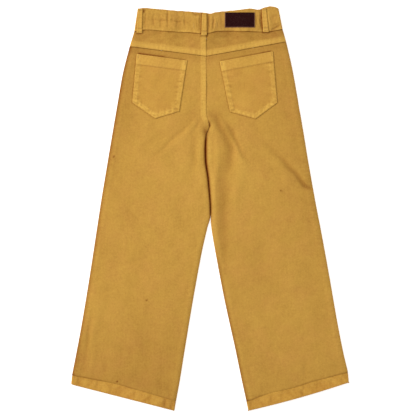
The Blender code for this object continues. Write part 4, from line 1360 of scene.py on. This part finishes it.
def sew(made, points, height, kind, lift):
    spec = stitch[kind]
    half = spec["length"] / 2
    size = Matrix.Diagonal((half * 2, spec["width"], spec["high"])).to_4x4()
    for x, y, alongX, alongY in walk(points, spec["pitch"]):
        if spec["crosswise"]:
            alongX, alongY = -alongY, alongX
        before = height(x - alongX * half * 0.7, y - alongY * half * 0.7)
        after = height(x + alongX * half * 0.7, y + alongY * half * 0.7)
        along = Vector((alongX, alongY, (after - before) / (half * 1.4))).normalized()
        side = Vector((-alongY, alongX, 0.0)).normalized()
        turned = Matrix((along, side, along.cross(side))).transposed().to_4x4()
        place = Matrix.Translation(Vector((x, y, (before + after) / 2 + lift)) * mm) @ Matrix.Scale(mm, 4)
        bmesh.ops.create_icosphere(made, subdivisions=1, radius=0.5, matrix=place @ turned @ size)


def threadPiece(name, height, rows, tacks=(), lift=0.08):
    # rows of running stitches and bar tacks, joined as one piece of thread
    made = bmesh.new()
    for kind, lines in (("run", rows), ("tack", tacks)):
        for points in lines:
            sew(made, points, height, kind, lift)
    mesh = bpy.data.meshes.new(name)
    made.to_mesh(mesh)
    made.free()
    mesh.shade_smooth()
    return ridden(name, mesh, threadFinish)


def pairs(x, y):
    # points on the cloth from their x and their y
    return np.stack(np.broadcast_arrays(x, y), axis=1)


def between(a, b, first, last, aside=(0.0, 0.0)):
    # the line from one share of the way to another, moved aside
    return [mix(a, b, share) + np.array(aside) for share in (first, last)]


def seatSeamRows(levels, offsets):
    # rows beside the seam of the seat, at its wearer's left
    return [pairs(legValue("leftInnerX", levels) - away, levels) for away in offsets]


def yokeStitches():
    centre = np.array([fit["centre"], legRows[yokeRow, 0]])
    rows = [between(legPoint(yokeRow, side, "Outer"), centre, 0.012, 0.995, (0.0, up))
            for side in sides for up in stitch["rows"]]
    rows += seatSeamRows(np.linspace(centre[1] - 2.0, fit["crotch"] + 2.0, 40), (1.7, 7.9))
    above = np.linspace(seamY(fit["centre"]) - 3.0, centre[1] + 10.0, 8)
    rows += [pairs(fit["centre"] - away, above) for away in (1.7, 7.9)]
    threadPiece("seam_stitches", surface(*legPieces.values(), *yokePieces.values()), rows)


def waistStitches():
    across = np.linspace(waistLeft + 3.0, waistRight - 3.0, 90)
    top, broken, low = [pairs(mix(topX(across), across, share), mix(topY(across), seamY(across), share))
                        for share in (0.055, 0.27, 0.94)]
    x, y = broken.T
    broken = broken[(uneven(x, y * 0.2, 34.0, 33) > -0.2) & (x < 20.0)]  # sunk in the cloth elsewhere
    tacks = [[(tackX, tackY + 5.0), (tackX + 0.6, tackY - 5.0)] for tackX, tackY in waist["tacks"].items()]
    return threadPiece("waistband_stitches", surface(bandPiece), [top, broken, low], tacks)


def pocketStitches(side):
    topOuter, topInner, lowInner, tip, lowOuter = pocketCorners[side]
    outline = [topOuter, lowOuter, tip, lowInner, topInner]
    outline = [2 * topOuter - lowOuter, *outline, 2 * topInner - lowInner]  # carried on past the mouth
    rows = []
    for distance in (1.8, 8.0):
        row = []
        for before, corner, after in zip(outline, outline[1:], outline[2:]):
            first = (corner - before) / np.hypot(*(corner - before))
            second = (after - corner) / np.hypot(*(after - corner))
            bisect = np.array([-(first + second)[1], (first + second)[0]])
            bisect /= np.hypot(*bisect)
            spread = max(abs(bisect @ np.array([-first[1], first[0]])), 0.3)
            row.append(corner - signs[side] * bisect * distance / spread)
        rows.append(row)
    down = (lowOuter + lowInner - topOuter - topInner) / 2
    down /= np.hypot(*down)
    rows += [between(topOuter, topInner, 0.03, 0.97, down * depth) for depth in (pockets["mouth"], 2.0)]
    starts = [mix(*ends, 0.035) + down * 1.5 for ends in ((topOuter, topInner), (topInner, topOuter))]
    tacks = [[start, start + down * 7.0] for start in starts]
    return threadPiece("pocket_stitches_" + side, surface(pocketPieces[side]), rows, tacks)


def hemStitches():
    rows = []
    for side in sides:
        start, end = [mix(legPoint(hemRow, side, edge), legPoint(edgeRow, side, edge), 0.14)
                      for edge in ("Outer", "Inner")]
        rows.append(between(start, end, 0.012, 0.988))
    threadPiece("hem_stitches", surface(*hemPieces.values()), rows)


def loopStitches():
    rows, tacks = [], []
    for high, low in backLoops.values():
        rows += [between(high, low, 0.05, 0.95, (away, 0.0)) for away in (-2.9, 2.9)]
        tacks += [[mix(high, low, share) + (away, 0.0) for away in (-3.6, 3.6)]
                  for share in (0.06, 0.82, 0.93)]
    return threadPiece("loop_stitches", surface(*loopPieces), rows, tacks)


def frontStitches():
    # on the hidden front: pocket scoops, fly and crotch seam
    fly = dict(straight=62.0, hook=34.0, rows=(24.0, 28.0))
    angles = np.linspace(0.06, frontLegs["scoopEnds"] - 0.1, 40)
    rows = [pairs(*scoopPoint(side, angles, out)) for side in sides for out in (-2.0, -8.0)]
    start = frontTopY(fit["centre"], 4.0)
    curve = np.linspace(0.0, math.pi / 2, 14)[:-1]
    hookY = start - fly["straight"] - fly["hook"] * np.sin(curve)
    for out in fly["rows"]:
        rows.append([(fit["centre"] - out, start), *pairs(fit["centre"] - out * np.cos(curve), hookY)])
    rows += seatSeamRows(np.linspace(start - 100.0, fit["crotch"] + 6.0, 20), (2.0, 7.0))
    threadPiece("front_stitches", lambda x, y: fit["frontFace"] - 0.02, rows, lift=-0.08)


yokeStitches()
waistThread = waistStitches()
pocketThread = {side: pocketStitches(side) for side in sides}
hemStitches()
loopThread = loopStitches()
frontStitches()
print("jeans: sewn")


# floor, light and camera

studio = dict(
    frameWide=0.735, cameraHigh=3.0, centreY=-0.00245, sensor=36.0,
    floorSide=6.0, floorLow=0.0003, paper=0.97, paperGlow=0.45,
    keyPlace=(-2.2, 1.0, 1.7), keySize=1.2, keyPower=62.0,
    fillPlace=(0.3, 0.2, 2.8), fillSize=2.6, fillPower=8.0,
    sky=0.62,
)


def areaLight(name):
    data = bpy.data.lights.new(name, "AREA")
    data.shape = "SQUARE"
    data.size = studio[name + "Size"]
    data.energy = studio[name + "Power"]
    light = linked(name, data)
    light.location = studio[name + "Place"]
    light.rotation_euler = (-light.location).to_track_quat("-Z", "Y").to_euler()


def stageAll():
    floor = bmesh.new()
    bmesh.ops.create_grid(floor, x_segments=1, y_segments=1, size=studio["floorSide"] / 2)
    bmesh.ops.translate(floor, verts=floor.verts[:], vec=(0.0, 0.0, -studio["floorLow"]))
    mesh = bpy.data.meshes.new("floor")
    floor.to_mesh(mesh)
    floor.free()
    paper = bpy.data.materials.new("paper")
    paper.use_nodes = True
    feed(paper.node_tree, paper.node_tree.nodes["Principled BSDF"], {
        "Base Color": (studio["paper"],) * 3 + (1.0,), "Roughness": 0.9, "Specular IOR Level": 0.1,
        "Emission Color": (1.0, 1.0, 1.0, 1.0), "Emission Strength": studio["paperGlow"],
    })
    mesh.materials.append(paper)
    linked("floor", mesh)
    areaLight("key")
    areaLight("fill")
    scene = bpy.context.scene
    scene.world = bpy.data.worlds.new("studio")
    scene.world.use_nodes = True
    sky = {"Color": (1.0, 1.0, 1.0, 1.0), "Strength": studio["sky"]}
    feed(scene.world.node_tree, scene.world.node_tree.nodes["Background"], sky)
    scene.view_settings.view_transform = "Standard"
    data = bpy.data.cameras.new("camera")
    data.sensor_width = studio["sensor"]
    data.lens = studio["sensor"] * studio["cameraHigh"] / studio["frameWide"]
    scene.camera = linked("camera", data)
    scene.camera.location = (0.0, studio["centreY"], studio["cameraHigh"])


stageAll()
print("jeans: stage set")
